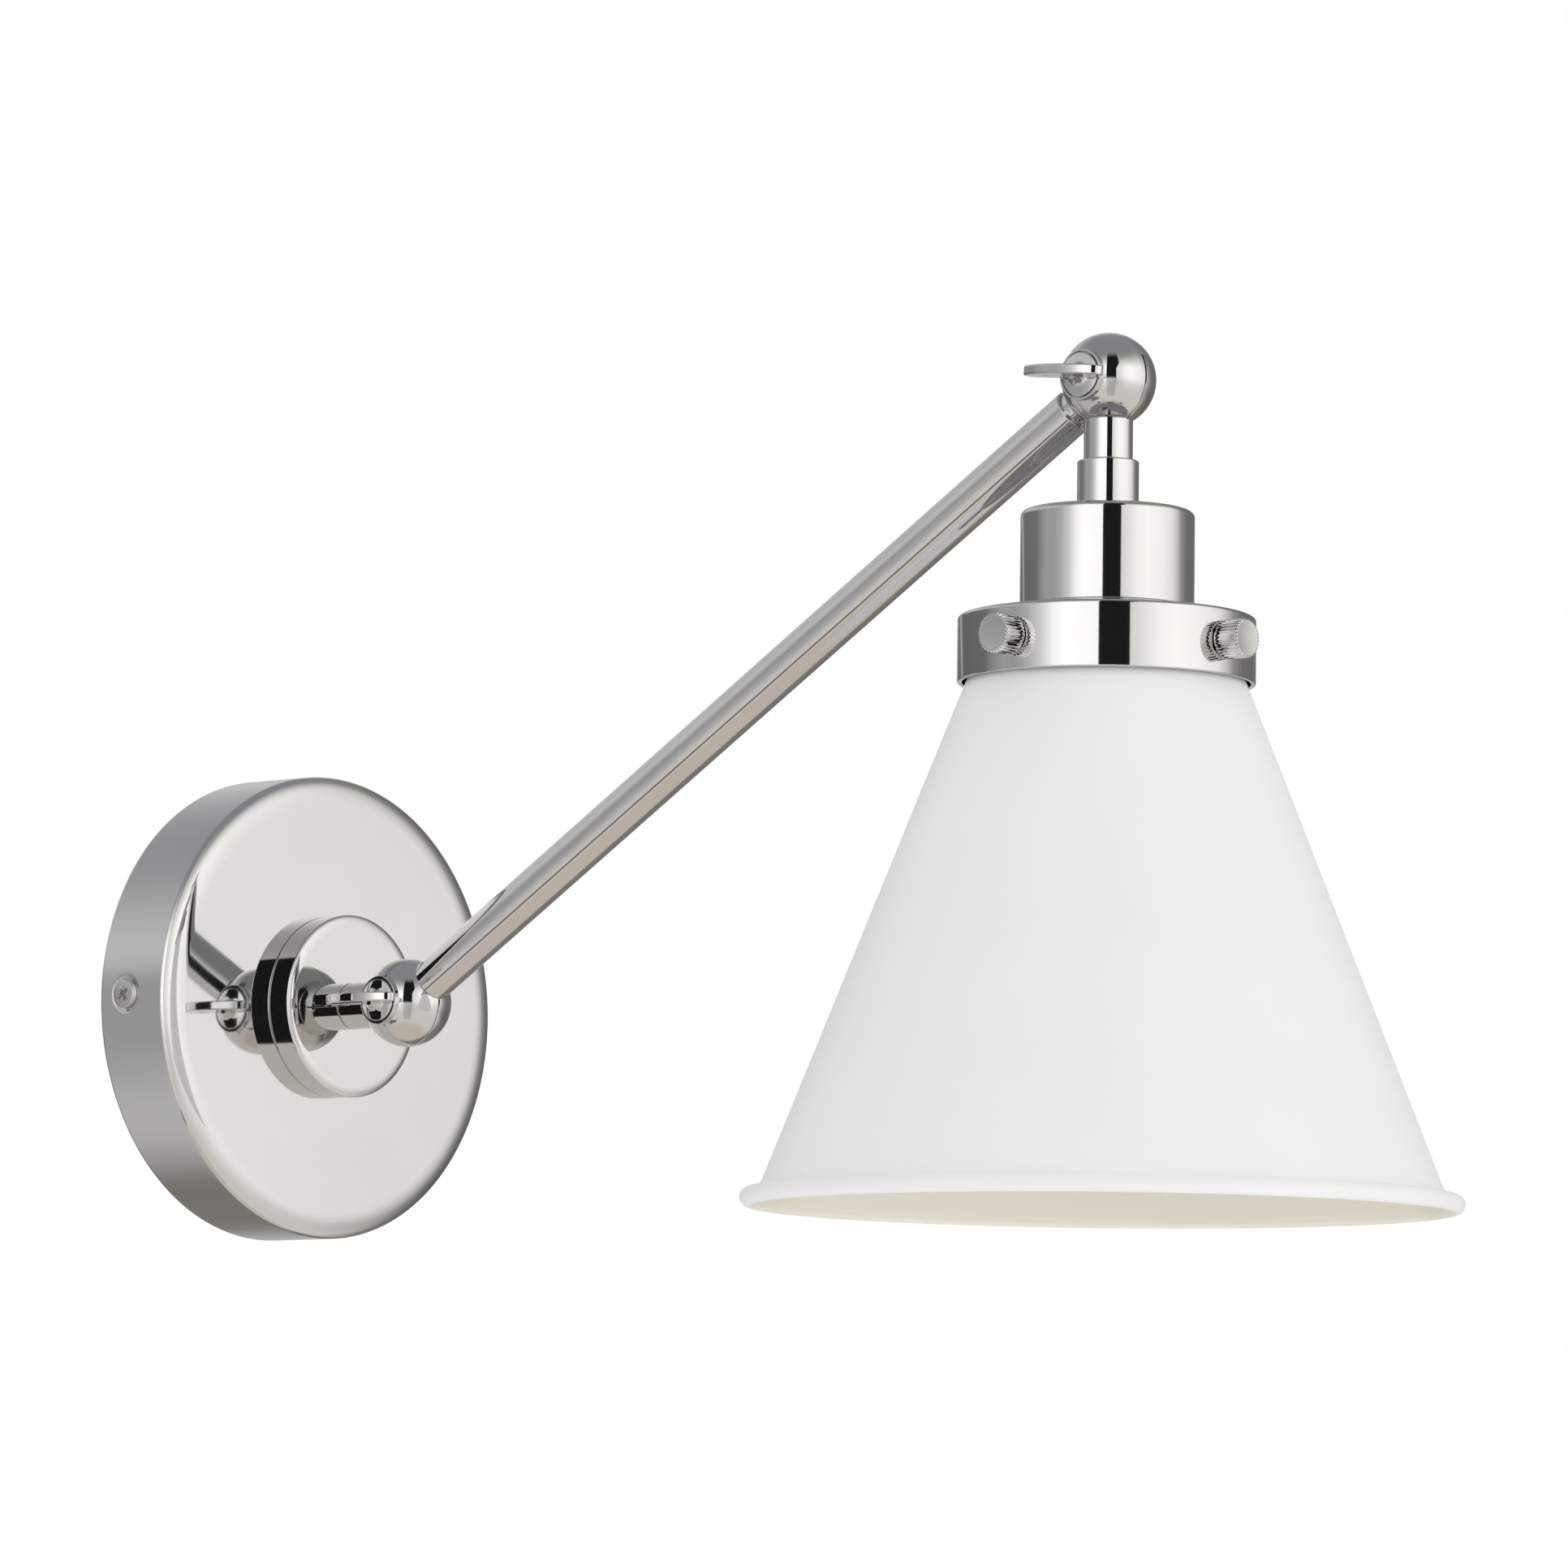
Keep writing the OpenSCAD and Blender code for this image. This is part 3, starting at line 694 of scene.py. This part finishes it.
def key_side_half():
    """Half of a knuckle with the boss that the key's disc sits in. Local +Z points to the key."""
    boss_low = math.degrees(math.acos(boss_r / ball_r))
    seat, seat_r, stud_hole = boss_x - 1.3, 5.9, 2.15
    outline = ball_rim + arc(0, 0, ball_r, ball_low, boss_low, 2.6)
    outline += rounded([(boss_r + 0.02, seat, 0), (boss_r, boss_x, 0.28), (seat_r, boss_x, 0.16),
                        (seat_r, seat, 0), (stud_hole, seat, 0), (stud_hole, 9.75, 0)])
    outline += arc(0, 0, ball_r - ball_wall, 77, 1, 8)
    return revolve(outline, 192)


def plain_half():
    """The other half of a knuckle, on the arm. Local +Z points away from the key."""
    outline = ball_rim + arc(0, 0, ball_r, ball_low, 90, 2.6)[:-1] + [(0, ball_r), (0, ball_r - ball_wall)]
    outline += arc(0, 0, ball_r - ball_wall, 90, 1, 8)[1:]
    return revolve(outline, 192)


def on_ball(radius, gap):
    """The height at which a tube of this radius meets the ball, with a gap left between them."""
    return math.sqrt((ball_r + gap)**2 - radius**2)


def collar_on_ball(radius, length, edge):
    """A bored tube on local -Z whose end follows the ball."""
    outline = rounded([(bore_r, -length, 0), (radius, -length, edge), (radius, -on_ball(radius, slip), 0.12),
                       (bore_r, -on_ball(bore_r, slip), 0)], 15)
    return revolve(outline, 160)


def make_knuckles():
    """The four half balls, each with the tube that leaves it."""
    stub = collar_on_ball(stub_r, stub_len, 0.2)
    stem = collar_on_ball(stem_r, -lower.y - hub_face - 0.1, 0.25)
    neck = collar_on_ball(neck_r, upper.z - coupling_top, 0.35)
    up_arm = at_lower @ along_arm @ Matrix.Rotation(math.pi, 4, "X")
    halves = [
        ("stem_half_ball", "stem", "stem_knuckle", key_side_half(), at_lower @ to_left, stem,
         at_lower @ from_wall),
        ("lower_cap_half_ball", "arm", "lower_knuckle_cap", plain_half(), at_lower @ to_right, stub, up_arm),
        ("upper_cap_half_ball", "arm", "upper_knuckle_cap", plain_half(), at_upper @ to_right, stub,
         at_upper @ along_arm),
        ("neck_half_ball", "lamp_head", "neck_knuckle", key_side_half(), at_upper @ to_left, neck, at_upper),
    ]
    for name, body, node, half, half_place, tube, tube_place in halves:
        shape = Shape().add(half, half_place)
        shape.add(tube, tube_place)
        shape.make(name, body, [node], "nickel", [nickel])


def make_key(name, body, node, place):
    disc = [(0, 10.4), (5.45, 10.4), (5.7, 10.65), (5.7, 11.55)]
    disc += arc(5.25, 11.55, 0.45, 0, 75, 12)
    disc += [(4.6, 12.17), (3.9, 12.27), (3.3, 12.36), (2.85, 12.52), (2.5, 12.82), (2.25, 13.25),
             (2.05, 13.8), (1.85, 14.4), (1.6, 14.9), (0, 15.2)]
    shape = Shape().add(revolve(disc, 112), place @ to_left)
    shape.add(oval_plate(12.3, 4.8, 2.5, 0.42), place @ Matrix.Translation((-18.2, 0, 0)), angle=40)
    shape.make(name, body, [node], "nickel", [nickel])


# Arm ------------------------------------------------------------------------


def make_arm():
    end = arm_len - 13.0
    bore = arm_r - arm_wall
    gap = 0.10
    outline = rounded([(bore, on_ball(bore, gap), 0), (arm_r, on_ball(arm_r, gap), 0.14),
                       (arm_r, end, 0.26), (bore, end, 0.2)], 12)
    tube = Shape().add(revolve(outline, 176), at_lower @ along_arm)
    tube.make("arm_polished_tube", "arm", ["arm_tube"], "nickel", [nickel])


# Lamp head ------------------------------------------------------------------


def make_head():
    outline = rounded([(nipple_hole, cup_top, 0), (coupling_r, cup_top, 0.22),
                       (coupling_r, coupling_top, 0.5), (nipple_hole, coupling_top, 0)])
    coupling = Shape().add(revolve(outline, 176), on_head)
    coupling.make("coupling_turned", "lamp_head", ["neck_coupling"], "nickel", [nickel])
    wall = 1.2
    foot = collar_top + 0.02
    line, line_half, line_depth = collar_top + 2.3, 0.22, 0.16
    outline = rounded([(cup_r - wall, foot, 0), (cup_r, foot, 0.3), (cup_r, line - line_half, 0.06),
                       (cup_r - line_depth, line, 0.05), (cup_r, line + line_half, 0.06),
                       (cup_r, cup_top, 1.6), (nipple_hole, cup_top, 0), (nipple_hole, cup_top - wall, 0),
                       (cup_r - wall, cup_top - wall, 0.6)], 7)
    cup = Shape().add(revolve(outline, 224), on_head)
    cup.make("cup_spun", "lamp_head", ["socket_cup"], "nickel", [nickel])
    wall, hole = 1.3, 17.2
    inner = collar_r - wall
    outline = rounded([(inner, collar_bottom, 0.3), (collar_r, collar_bottom, 0.35),
                       (collar_r, collar_top, 1.0), (hole, collar_top, 0), (hole, collar_top - wall, 0),
                       (inner, collar_top - wall, 0.5)], 7)
    collar = Shape().add(revolve(outline, 256), on_head)
    collar.make("collar_spun", "lamp_head", ["shade_collar"], "nickel", [nickel])


def knurled(r, z, t):
    """A thumbscrew's head with thirty straight grooves that run out at its two ends."""
    if r < thumb_r - 0.45 or z < 0.5:
        return r, z
    grooves, width, depth = 30, 0.62, 0.34
    phase = (t * grooves / (2 * math.pi)) % 1.0
    ridge = abs(2 * phase - 1)
    groove = max(0.0, 1 - ridge / width)
    return r - depth * min(1.0, groove * 1.5), z


def make_thumbscrews():
    gap = 0.1
    length = thumb_end - collar_r - gap
    sides = [(0.10, 0.55), (0, 0.75), (0, length * 0.35), (0, length * 0.7), (0, length - 0.45),
             (0.10, length - 0.28), (0.26, length - 0.12)]
    outline = [(0, 0), (thumb_r - 0.55, 0), (thumb_r - 0.42, 0.12), (thumb_r - 0.42, 0.42)]
    outline += [(thumb_r - inward, z) for inward, z in sides]
    outline += [(thumb_r - 0.5, length), (thumb_r - 0.8, length), (thumb_r - 1.0, length - 0.03)]
    outline += [(0, length - 0.03)]

    def paint(middle, _):
        return 1 if middle[1] > length - 0.1 else 0

    head = revolve(outline, 300, wave=knurled, paint=paint)
    for turn, where in ((180, "left"), (270, "front"), (0, "right"), (90, "rear")):
        node = "thumbscrew_" + where
        place = on_head @ Matrix.Translation((0, 0, thumb_z))
        place = place @ Matrix.Rotation(math.radians(turn), 4, "Z") @ to_right
        shape = Shape().add(head, place @ Matrix.Translation((0, 0, collar_r + gap)), angle=28)
        shape.add(threaded(2.0, 0.7, 0.2, 30.1, collar_r + 0.3, 0.0, 32), place, 2)
        shape.make(node + "_knurled", node, [node], "nickel", [nickel, satin_nickel, steel])


def make_shade():
    sheet = 1.0
    cone_top_r = 35.4
    cone_end = collar_bottom + 3.4
    cone_start = bead_z + 4.2
    inside_start = bead_z + 0.6
    foot_r = bead_c - 1.6
    slope = (foot_r - cone_top_r) / (collar_bottom - bead_z)
    fitter_r, lip_r, lip_in = 30.0, 32.5, 29.0

    def outer(z):
        return foot_r - slope * (z - bead_z)

    outline = arc(bead_c, bead_z, bead_r, -158, 112, 7.5)
    neck = [(0.15, 2.16), (-0.25, 2.30), (-0.6, 2.62), (-1.0, 3.2)]
    outline += [(foot_r + outward, bead_z + rise) for outward, rise in neck]
    outline += [(outer(z), z) for z in [cone_start] + rows(cone_start, cone_end, 6.0) + [cone_end]]
    outline += [(fitter_r, cone_end), (fitter_r, collar_top - 4), (lip_r, collar_top - 4),
                (lip_r, collar_top - 3), (lip_in, collar_top - 3), (lip_in, cone_end - sheet)]
    outline += [(outer(cone_end) - sheet, cone_end - sheet)]
    inside = rows(cone_end - sheet, inside_start, 6.0) + [inside_start]
    outline += [(outer(z) - sheet, z) for z in inside] + [(foot_r - 0.88, bead_z - 0.2)]

    def paint(_, normal):
        return 1 if normal[0] < -0.06 and normal[1] < 0.5 else 0

    shell = revolve(outline, 320, paint=paint)
    Shape().add(shell, on_head).make("cone_shade", "lamp_head", ["shade"], "white_paint", [white, cream])


def make_bulb():
    low, high = span("bulb_globe")
    glass_r = high.x
    centre = low.z + glass_r
    cap_r = span("bulb_cap")[1].x
    cap_bottom, cap_top = span("bulb_cap")[0].z, span("bulb_cap")[1].z
    glass = 1
    throat_r, throat_z = cap_r - 1, cap_bottom - 6
    rise = throat_z - centre
    tangent = math.atan2(throat_r, rise) + math.acos(glass_r / math.hypot(throat_r, rise))
    end = 90 - math.degrees(tangent)
    outline = [(0, low.z)] + arc(0, centre, glass_r, -90, end, 3.5)[1:]
    outline += [(throat_r + 1.6, throat_z - 4.4), (throat_r + 0.5, throat_z - 1.2)]
    outline += [(throat_r, throat_z + 1.0), (throat_r, cap_bottom + 1)]
    outline += [(throat_r - glass, cap_bottom + 1), (throat_r - glass, throat_z)]
    outline += arc(0, centre, glass_r - glass, end, -90, 6)[:-1] + [(0, low.z + glass)]
    globe = Shape().add(revolve(outline, 160), on_head)
    globe.make("bulb_frosted_globe", "lamp_head", ["bulb_globe"], "frosted_glass", [opal])
    pitch, depth, lip = 3.6, 0.5, 1.5
    heights = [cap_bottom] + rows(cap_bottom, cap_top, 0.45) + [cap_top]
    outline = [(cap_r - 0.5, cap_bottom)] + [(cap_r, z) for z in heights] + [(cap_r - 0.5, cap_top)]

    def wave(r, z, t):
        if r < cap_r:
            return r - 0.45, z
        from_lip = min(1.0, max(0.0, (z - cap_bottom - lip) / 2))
        fade = from_lip * min(1.0, max(0.0, (cap_top - z) / lip))
        groove = 0.5 + 0.5 * math.cos(2 * math.pi * (z / pitch - t / (2 * math.pi)))
        return r - 0.02 - depth * fade * groove, z

    cap = Shape().add(revolve(outline, 96, wave=wave), on_head)
    cap.make("bulb_screw_cap", "lamp_head", ["bulb_cap"], "zinc_steel", [steel])


# Hardware inside ------------------------------------------------------------


def lamp_thread(z0, z1):
    """A hollow 10 mm lamp nipple from z0 to z1."""
    return threaded(nipple_r, 1.0, 0.3, z0, z1, bore_r)


def make_hardware():
    low, high = span("stem_nipple")
    shape = Shape().add(lamp_thread(-high.y, -low.y), from_wall)
    shape.make("stem_threaded_nipple", "stem", ["stem_nipple"], "brass", [brass])
    low, high = span("neck_nipple")
    shape = Shape().add(lamp_thread(low.z, high.z), on_head)
    shape.make("neck_threaded_nipple", "lamp_head", ["neck_nipple"], "brass", [brass])
    low, high = span("hub_nut")
    flat = 8.1 * math.cos(math.pi / 6)
    place = from_wall @ Matrix.Translation((0, 0, -high.y))
    shape = Shape().add(hex_nut(flat, high.y - low.y, nipple_hole), place, angle=25)
    shape.make("hub_hex_nut", "stem", ["hub_nut"], "brass", [brass])
    low, high = span("cup_nut")
    place = on_head @ Matrix.Translation((0, 0, low.z))
    shape = Shape().add(hex_nut(flat, high.z - low.z, nipple_hole), place, angle=25)
    shape.make("cup_hex_nut", "lamp_head", ["cup_nut"], "brass", [brass])


def twisted(z0, z1, x, bare, body, node, place, name):
    """A twisted pair of insulated wires on local Z, with stripped ends where they stop in the open."""
    wire_r, copper_r, lay = 0.70, 0.42, 18

    def wind(z, side):
        t = 2 * math.pi * z / lay + side
        return x + wire_r * math.cos(t), wire_r * math.sin(t)

    shape = Shape()
    for side, slot in ((0.0, 0), (math.pi, 1)):
        heights = [z0 + bare] + rows(z0 + bare, z1, 1.2) + [z1]
        shape.add(rod([(*wind(z, side), z) for z in heights], wire_r, 14), place, slot, 50)
        if bare:
            start = wind(z0 + bare, side)
            tip = [(*start, z) for z in (z0, z0 + bare * 0.5, z0 + bare + 0.4)]
            shape.add(rod(tip, copper_r, 12), place, 2, 50)
    shape.make(name, body, [node], "wire", [rubber_black, rubber_white, copper])


def make_leads():
    clear = 6.5
    low, high = span("stem_lead")
    twisted(-high.y, -low.y, -1.8, 3.5, "stem", "stem_lead", from_wall, "stem_twisted_pair")
    twisted(clear, arm_len - clear, 1.8, 0, "arm", "arm_lead", at_lower @ along_arm, "arm_twisted_pair")
    low, high = span("head_lead")
    twisted(low.z, high.z, -1.8, 0, "lamp_head", "head_lead", on_head, "head_twisted_pair")


make_backplate()
make_hub()
make_screws()
make_knuckles()
make_key("lower_turn_key", "lower_key", "lower_key", at_lower)
make_key("upper_turn_key", "upper_key", "upper_key", at_upper @ Matrix.Rotation(math.radians(5), 4, "X"))
make_arm()
make_head()
make_thumbscrews()
make_shade()
make_bulb()
make_hardware()
make_leads()

kept = {
    "crossbar": zinc, "stop_pin": steel, "stop_washer": zinc, "wave_washer": steel,
    "lower_key_stud": steel, "upper_key_stud": steel, "lower_friction_washer": fibre,
    "upper_friction_washer": fibre, "lampholder_body": phenolic, "lampholder_ring": phenolic,
    "lampholder_shell": brass, "lampholder_contact": brass, "bulb_insulator": black_glass,
    "bulb_tip": steel,
}
for node, material in kept.items():
    obj = nodes[node]
    obj.data.materials.clear()
    obj.data.materials.append(material)

# Studio ---------------------------------------------------------------------

# The camera was fitted to the photo together with the part's main sizes.
yaw, pitch, roll = math.radians(48.56), math.radians(6.23), math.radians(0.78)
forward = Vector((math.cos(pitch) * math.sin(yaw), math.cos(pitch) * math.cos(yaw), math.sin(pitch)))
level = Vector((math.cos(yaw), -math.sin(yaw), 0))
above = level.cross(forward)
right = math.cos(roll) * level + math.sin(roll) * above
up = math.cos(roll) * above - math.sin(roll) * level
camera = bpy.data.objects.new("camera", bpy.data.cameras.new("camera"))
camera_place = Vector((-1.4321, -1.4538, -0.157))
camera_turn = Matrix((right, up, -forward)).transposed().to_4x4()
camera.matrix_world = Matrix.Translation(camera_place) @ camera_turn
camera.data.sensor_width = 36
camera.data.lens = 169.14
camera.data.clip_start, camera.data.clip_end = 0.05, 50
bpy.context.scene.collection.objects.link(camera)
bpy.context.scene.camera = camera
bpy.context.scene.view_settings.view_transform = "Standard"


def make_world():
    """Light that isn't one physical room: each kind of ray sees its own.

    Camera rays see white, and diffuse rays a smooth fill that is brighter from below. All other rays see
    soft panels on both sides with a dark gap between them, placed to match the photo's reflections from
    the photo's own camera.
    """
    world = bpy.data.worlds.new("studio")
    bpy.context.scene.world = world
    world.use_nodes = True
    tree = world.node_tree
    tree.nodes.clear()
    new, link = tree.nodes.new, tree.links.new

    def math_node(kind, a, b=0.0, c=0.0):
        node = new("ShaderNodeMath")
        node.operation = kind
        for socket, value in zip(node.inputs, (a, b, c)):
            if isinstance(value, (int, float)):
                socket.default_value = value
            else:
                link(value, socket)
        return node.outputs[0]

    def ramp(value, stops, smooth=True):
        node = new("ShaderNodeValToRGB")
        node.color_ramp.interpolation = "EASE" if smooth else "LINEAR"
        while len(node.color_ramp.elements) < len(stops):
            node.color_ramp.elements.new(0.5)
        for element, (position, colour) in zip(node.color_ramp.elements, stops):
            element.position = position
            element.color = (*colour, 1)
        link(value, node.inputs["Fac"])
        return node.outputs["Color"]

    def mix(factor, a, b):
        node = new("ShaderNodeMix")
        node.data_type = "RGBA"
        for socket, value in ((node.inputs["Factor"], factor), (node.inputs["A"], a), (node.inputs["B"], b)):
            if isinstance(value, tuple):
                socket.default_value = (*value, 1)
            else:
                link(value, socket)
        return node.outputs["Result"]

    def smooth(value, low, high):
        node = new("ShaderNodeMapRange")
        node.interpolation_type = "SMOOTHSTEP"
        node.inputs["From Min"].default_value = low
        node.inputs["From Max"].default_value = high
        link(value, node.inputs["Value"])
        return node.outputs["Result"]

    where = new("ShaderNodeTexCoord").outputs["Generated"]
    split = new("ShaderNodeSeparateXYZ")
    link(where, split.inputs["Vector"])
    x, y, z = split.outputs
    below = math_node("MULTIPLY", z, -1.0)
    toward = (-math.sin(yaw), -math.cos(yaw))
    ahead = math_node("ADD", math_node("MULTIPLY", x, toward[0]), math_node("MULTIPLY", y, toward[1]))
    beside = math_node("ADD", math_node("MULTIPLY", x, level.x), math_node("MULTIPLY", y, level.y))
    turn = math_node("MULTIPLY_ADD", math_node("ARCTAN2", beside, ahead), 1 / (2 * math.pi), 0.5)

    def at(degrees):
        return degrees / 360 + 0.5

    # Brightness of the panels by azimuth, in degrees from the side of the photo's camera.
    band = [(-180, 0.55), (-172, 0.42), (-164, 0.15), (-140, 0.14), (-110, 0.17), (-100, 0.32), (-90, 0.42),
            (-78, 0.40), (-66, 0.54), (-54, 0.84), (-44, 1.25), (-34, 1.42), (-10, 1.36), (0, 1.1),
            (16, 0.90), (26, 1.05), (38, 1.24), (52, 1.32), (76, 1.22), (92, 1.05), (103, 0.72),
            (112, 0.36), (126, 0.20), (150, 0.17), (164, 0.20), (172, 0.42), (180, 0.55)]
    stops = []
    for degrees, amount in band:
        warm = 0.012 if degrees > 10 else 0.0
        stops.append((at(degrees), (amount * (1 + warm), amount, amount * (1 - 2 * warm))))
    room = ramp(turn, stops, False)
    part, full, none = (0.7, 0.7, 0.7), (1, 1, 1), (0, 0, 0)
    left_side = ramp(turn, [(at(-180), part), (at(-155), full), (at(-74), full), (at(-52), none),
                            (at(150), none), (at(180), part)])
    room = mix(math_node("MULTIPLY", left_side, smooth(z, 0.10, 0.34)), room, (0.66, 0.66, 0.68))
    room = mix(smooth(z, 0.32, 0.86), room, (0.30, 0.30, 0.315))
    right_low = math_node("MULTIPLY", smooth(below, -0.06, 0.28), math_node("SUBTRACT", 1.0, left_side))
    room = mix(math_node("MULTIPLY", right_low, 0.30), room, (0.05, 0.05, 0.05))
    ground = mix(left_side, (0.76, 0.735, 0.70), (0.58, 0.575, 0.58))
    ground = mix(smooth(ahead, -0.22, -0.62), ground, (0.24, 0.225, 0.21))
    room = mix(smooth(below, 0.16, 0.58), room, ground)
    room = mix(smooth(below, 0.76, 0.92), room, (0.66, 0.60, 0.53))
    # A thin dark line, at the azimuths that the tube's underside mirrors in the photo's view.
    edge = math_node("SUBTRACT", smooth(below, 0.70, 0.735), smooth(below, 0.78, 0.815))
    tube_side = math_node("SUBTRACT", smooth(turn, at(-78), at(-60)), smooth(turn, at(-46), at(-30)))
    line = math_node("MULTIPLY", edge, math_node("MULTIPLY", tube_side, 0.85))
    room = mix(line, room, (0.09, 0.085, 0.08))
    # The dark gap. Below the horizon it is faded in first reflections but not in later ones, which keeps the
    # plate's face from going black in most views.
    strip_left = smooth(turn, at(-9.2), at(-8.2))
    strip_right = smooth(math_node("MULTIPLY_ADD", smooth(z, 0.30, 0.60), -9 / 360, turn), at(14.8), at(15.8))
    strip_high = smooth(z, 0.74, 0.92)
    path = new("ShaderNodeLightPath")
    again = math_node("GREATER_THAN", path.outputs["Glossy Depth"], 1.5)
    first = math_node("SUBTRACT", 1.0, again)
    fade = math_node("MULTIPLY", math_node("MULTIPLY", smooth(below, -0.02, 0.13), 0.72), first)
    strip_low = math_node("MAXIMUM", fade, smooth(below, 0.66, 0.76))
    strip_end = math_node("MAXIMUM", strip_high, strip_low)
    strip = math_node("SUBTRACT", strip_left, math_node("MAXIMUM", strip_right, strip_end))
    room = mix(math_node("MAXIMUM", strip, 0.0), room, (0.014, 0.014, 0.015))
    sky = new("ShaderNodeBackground")
    link(room, sky.inputs["Color"])
    from_below = math_node("MULTIPLY_ADD", smooth(below, -0.2, 0.9), 0.28, 0.925)
    soft = math_node("MULTIPLY_ADD", beside, 0.05, from_below)
    fill = new("ShaderNodeBackground")
    link(soft, fill.inputs["Strength"])
    plain = new("ShaderNodeBackground")
    plain.inputs["Color"].default_value = fill.inputs["Color"].default_value = (1, 1, 1, 1)
    lit = new("ShaderNodeMixShader")
    link(path.outputs["Is Diffuse Ray"], lit.inputs["Fac"])
    link(sky.outputs["Background"], lit.inputs[1])
    link(fill.outputs["Background"], lit.inputs[2])
    chosen = new("ShaderNodeMixShader")
    link(path.outputs["Is Camera Ray"], chosen.inputs["Fac"])
    link(lit.outputs["Shader"], chosen.inputs[1])
    link(plain.outputs["Background"], chosen.inputs[2])
    link(chosen.outputs["Shader"], new("ShaderNodeOutputWorld").inputs["Surface"])


def area_light(name, place, aim, size, power):
    """A soft light that polished metal doesn't mirror."""
    light = bpy.data.objects.new(name, bpy.data.lights.new(name, "AREA"))
    light.data.shape = "SQUARE"
    light.data.size = size
    light.data.energy = power
    light.location = place
    light.rotation_mode = "QUATERNION"
    light.rotation_quaternion = (Vector(aim) - Vector(place)).to_track_quat("-Z", "Y")
    light.visible_glossy = False
    bpy.context.scene.collection.objects.link(light)


make_world()
middle = (cad_box[0] + cad_box[1]) / 2
area_light("soft_front", middle - forward * 2.2 + level * 0.5 + Vector((0, 0, 0.9)), middle, 1.6, 5)
area_light("soft_right", middle + level * 2.2 - forward * 0.6 + Vector((0, 0, 0.2)), middle, 1.4, 3)

# The floor isn't seen in reflections or bounce light. It lies low, so it doesn't hide the lamp from below.
floor_r, floor_sides, floor_z = 14, 96, -3.2
floor_mesh = bpy.data.meshes.new("floor")
round_floor = [2 * math.pi * k / floor_sides for k in range(floor_sides)]
ring = [(floor_r * math.cos(t), floor_r * math.sin(t), 0.0) for t in round_floor]
floor_mesh.from_pydata(ring, [], [tuple(range(floor_sides))])
floor = bpy.data.objects.new("floor", floor_mesh)
floor.location = (0, middle.y, floor_z)
bpy.context.scene.collection.objects.link(floor)
ground = Finish("pale_floor")
ground.colour(ground.ramp(ground.noise(3, 4), [(0.3, (0.77, 0.765, 0.755)), (0.7, (0.80, 0.795, 0.785))]))
ground.rough(ground.range(ground.noise(8, 4), 0.55, 0.7))
floor_mesh.materials.append(ground.material)
floor.visible_glossy = floor.visible_diffuse = False

bpy.context.view_layer.update()
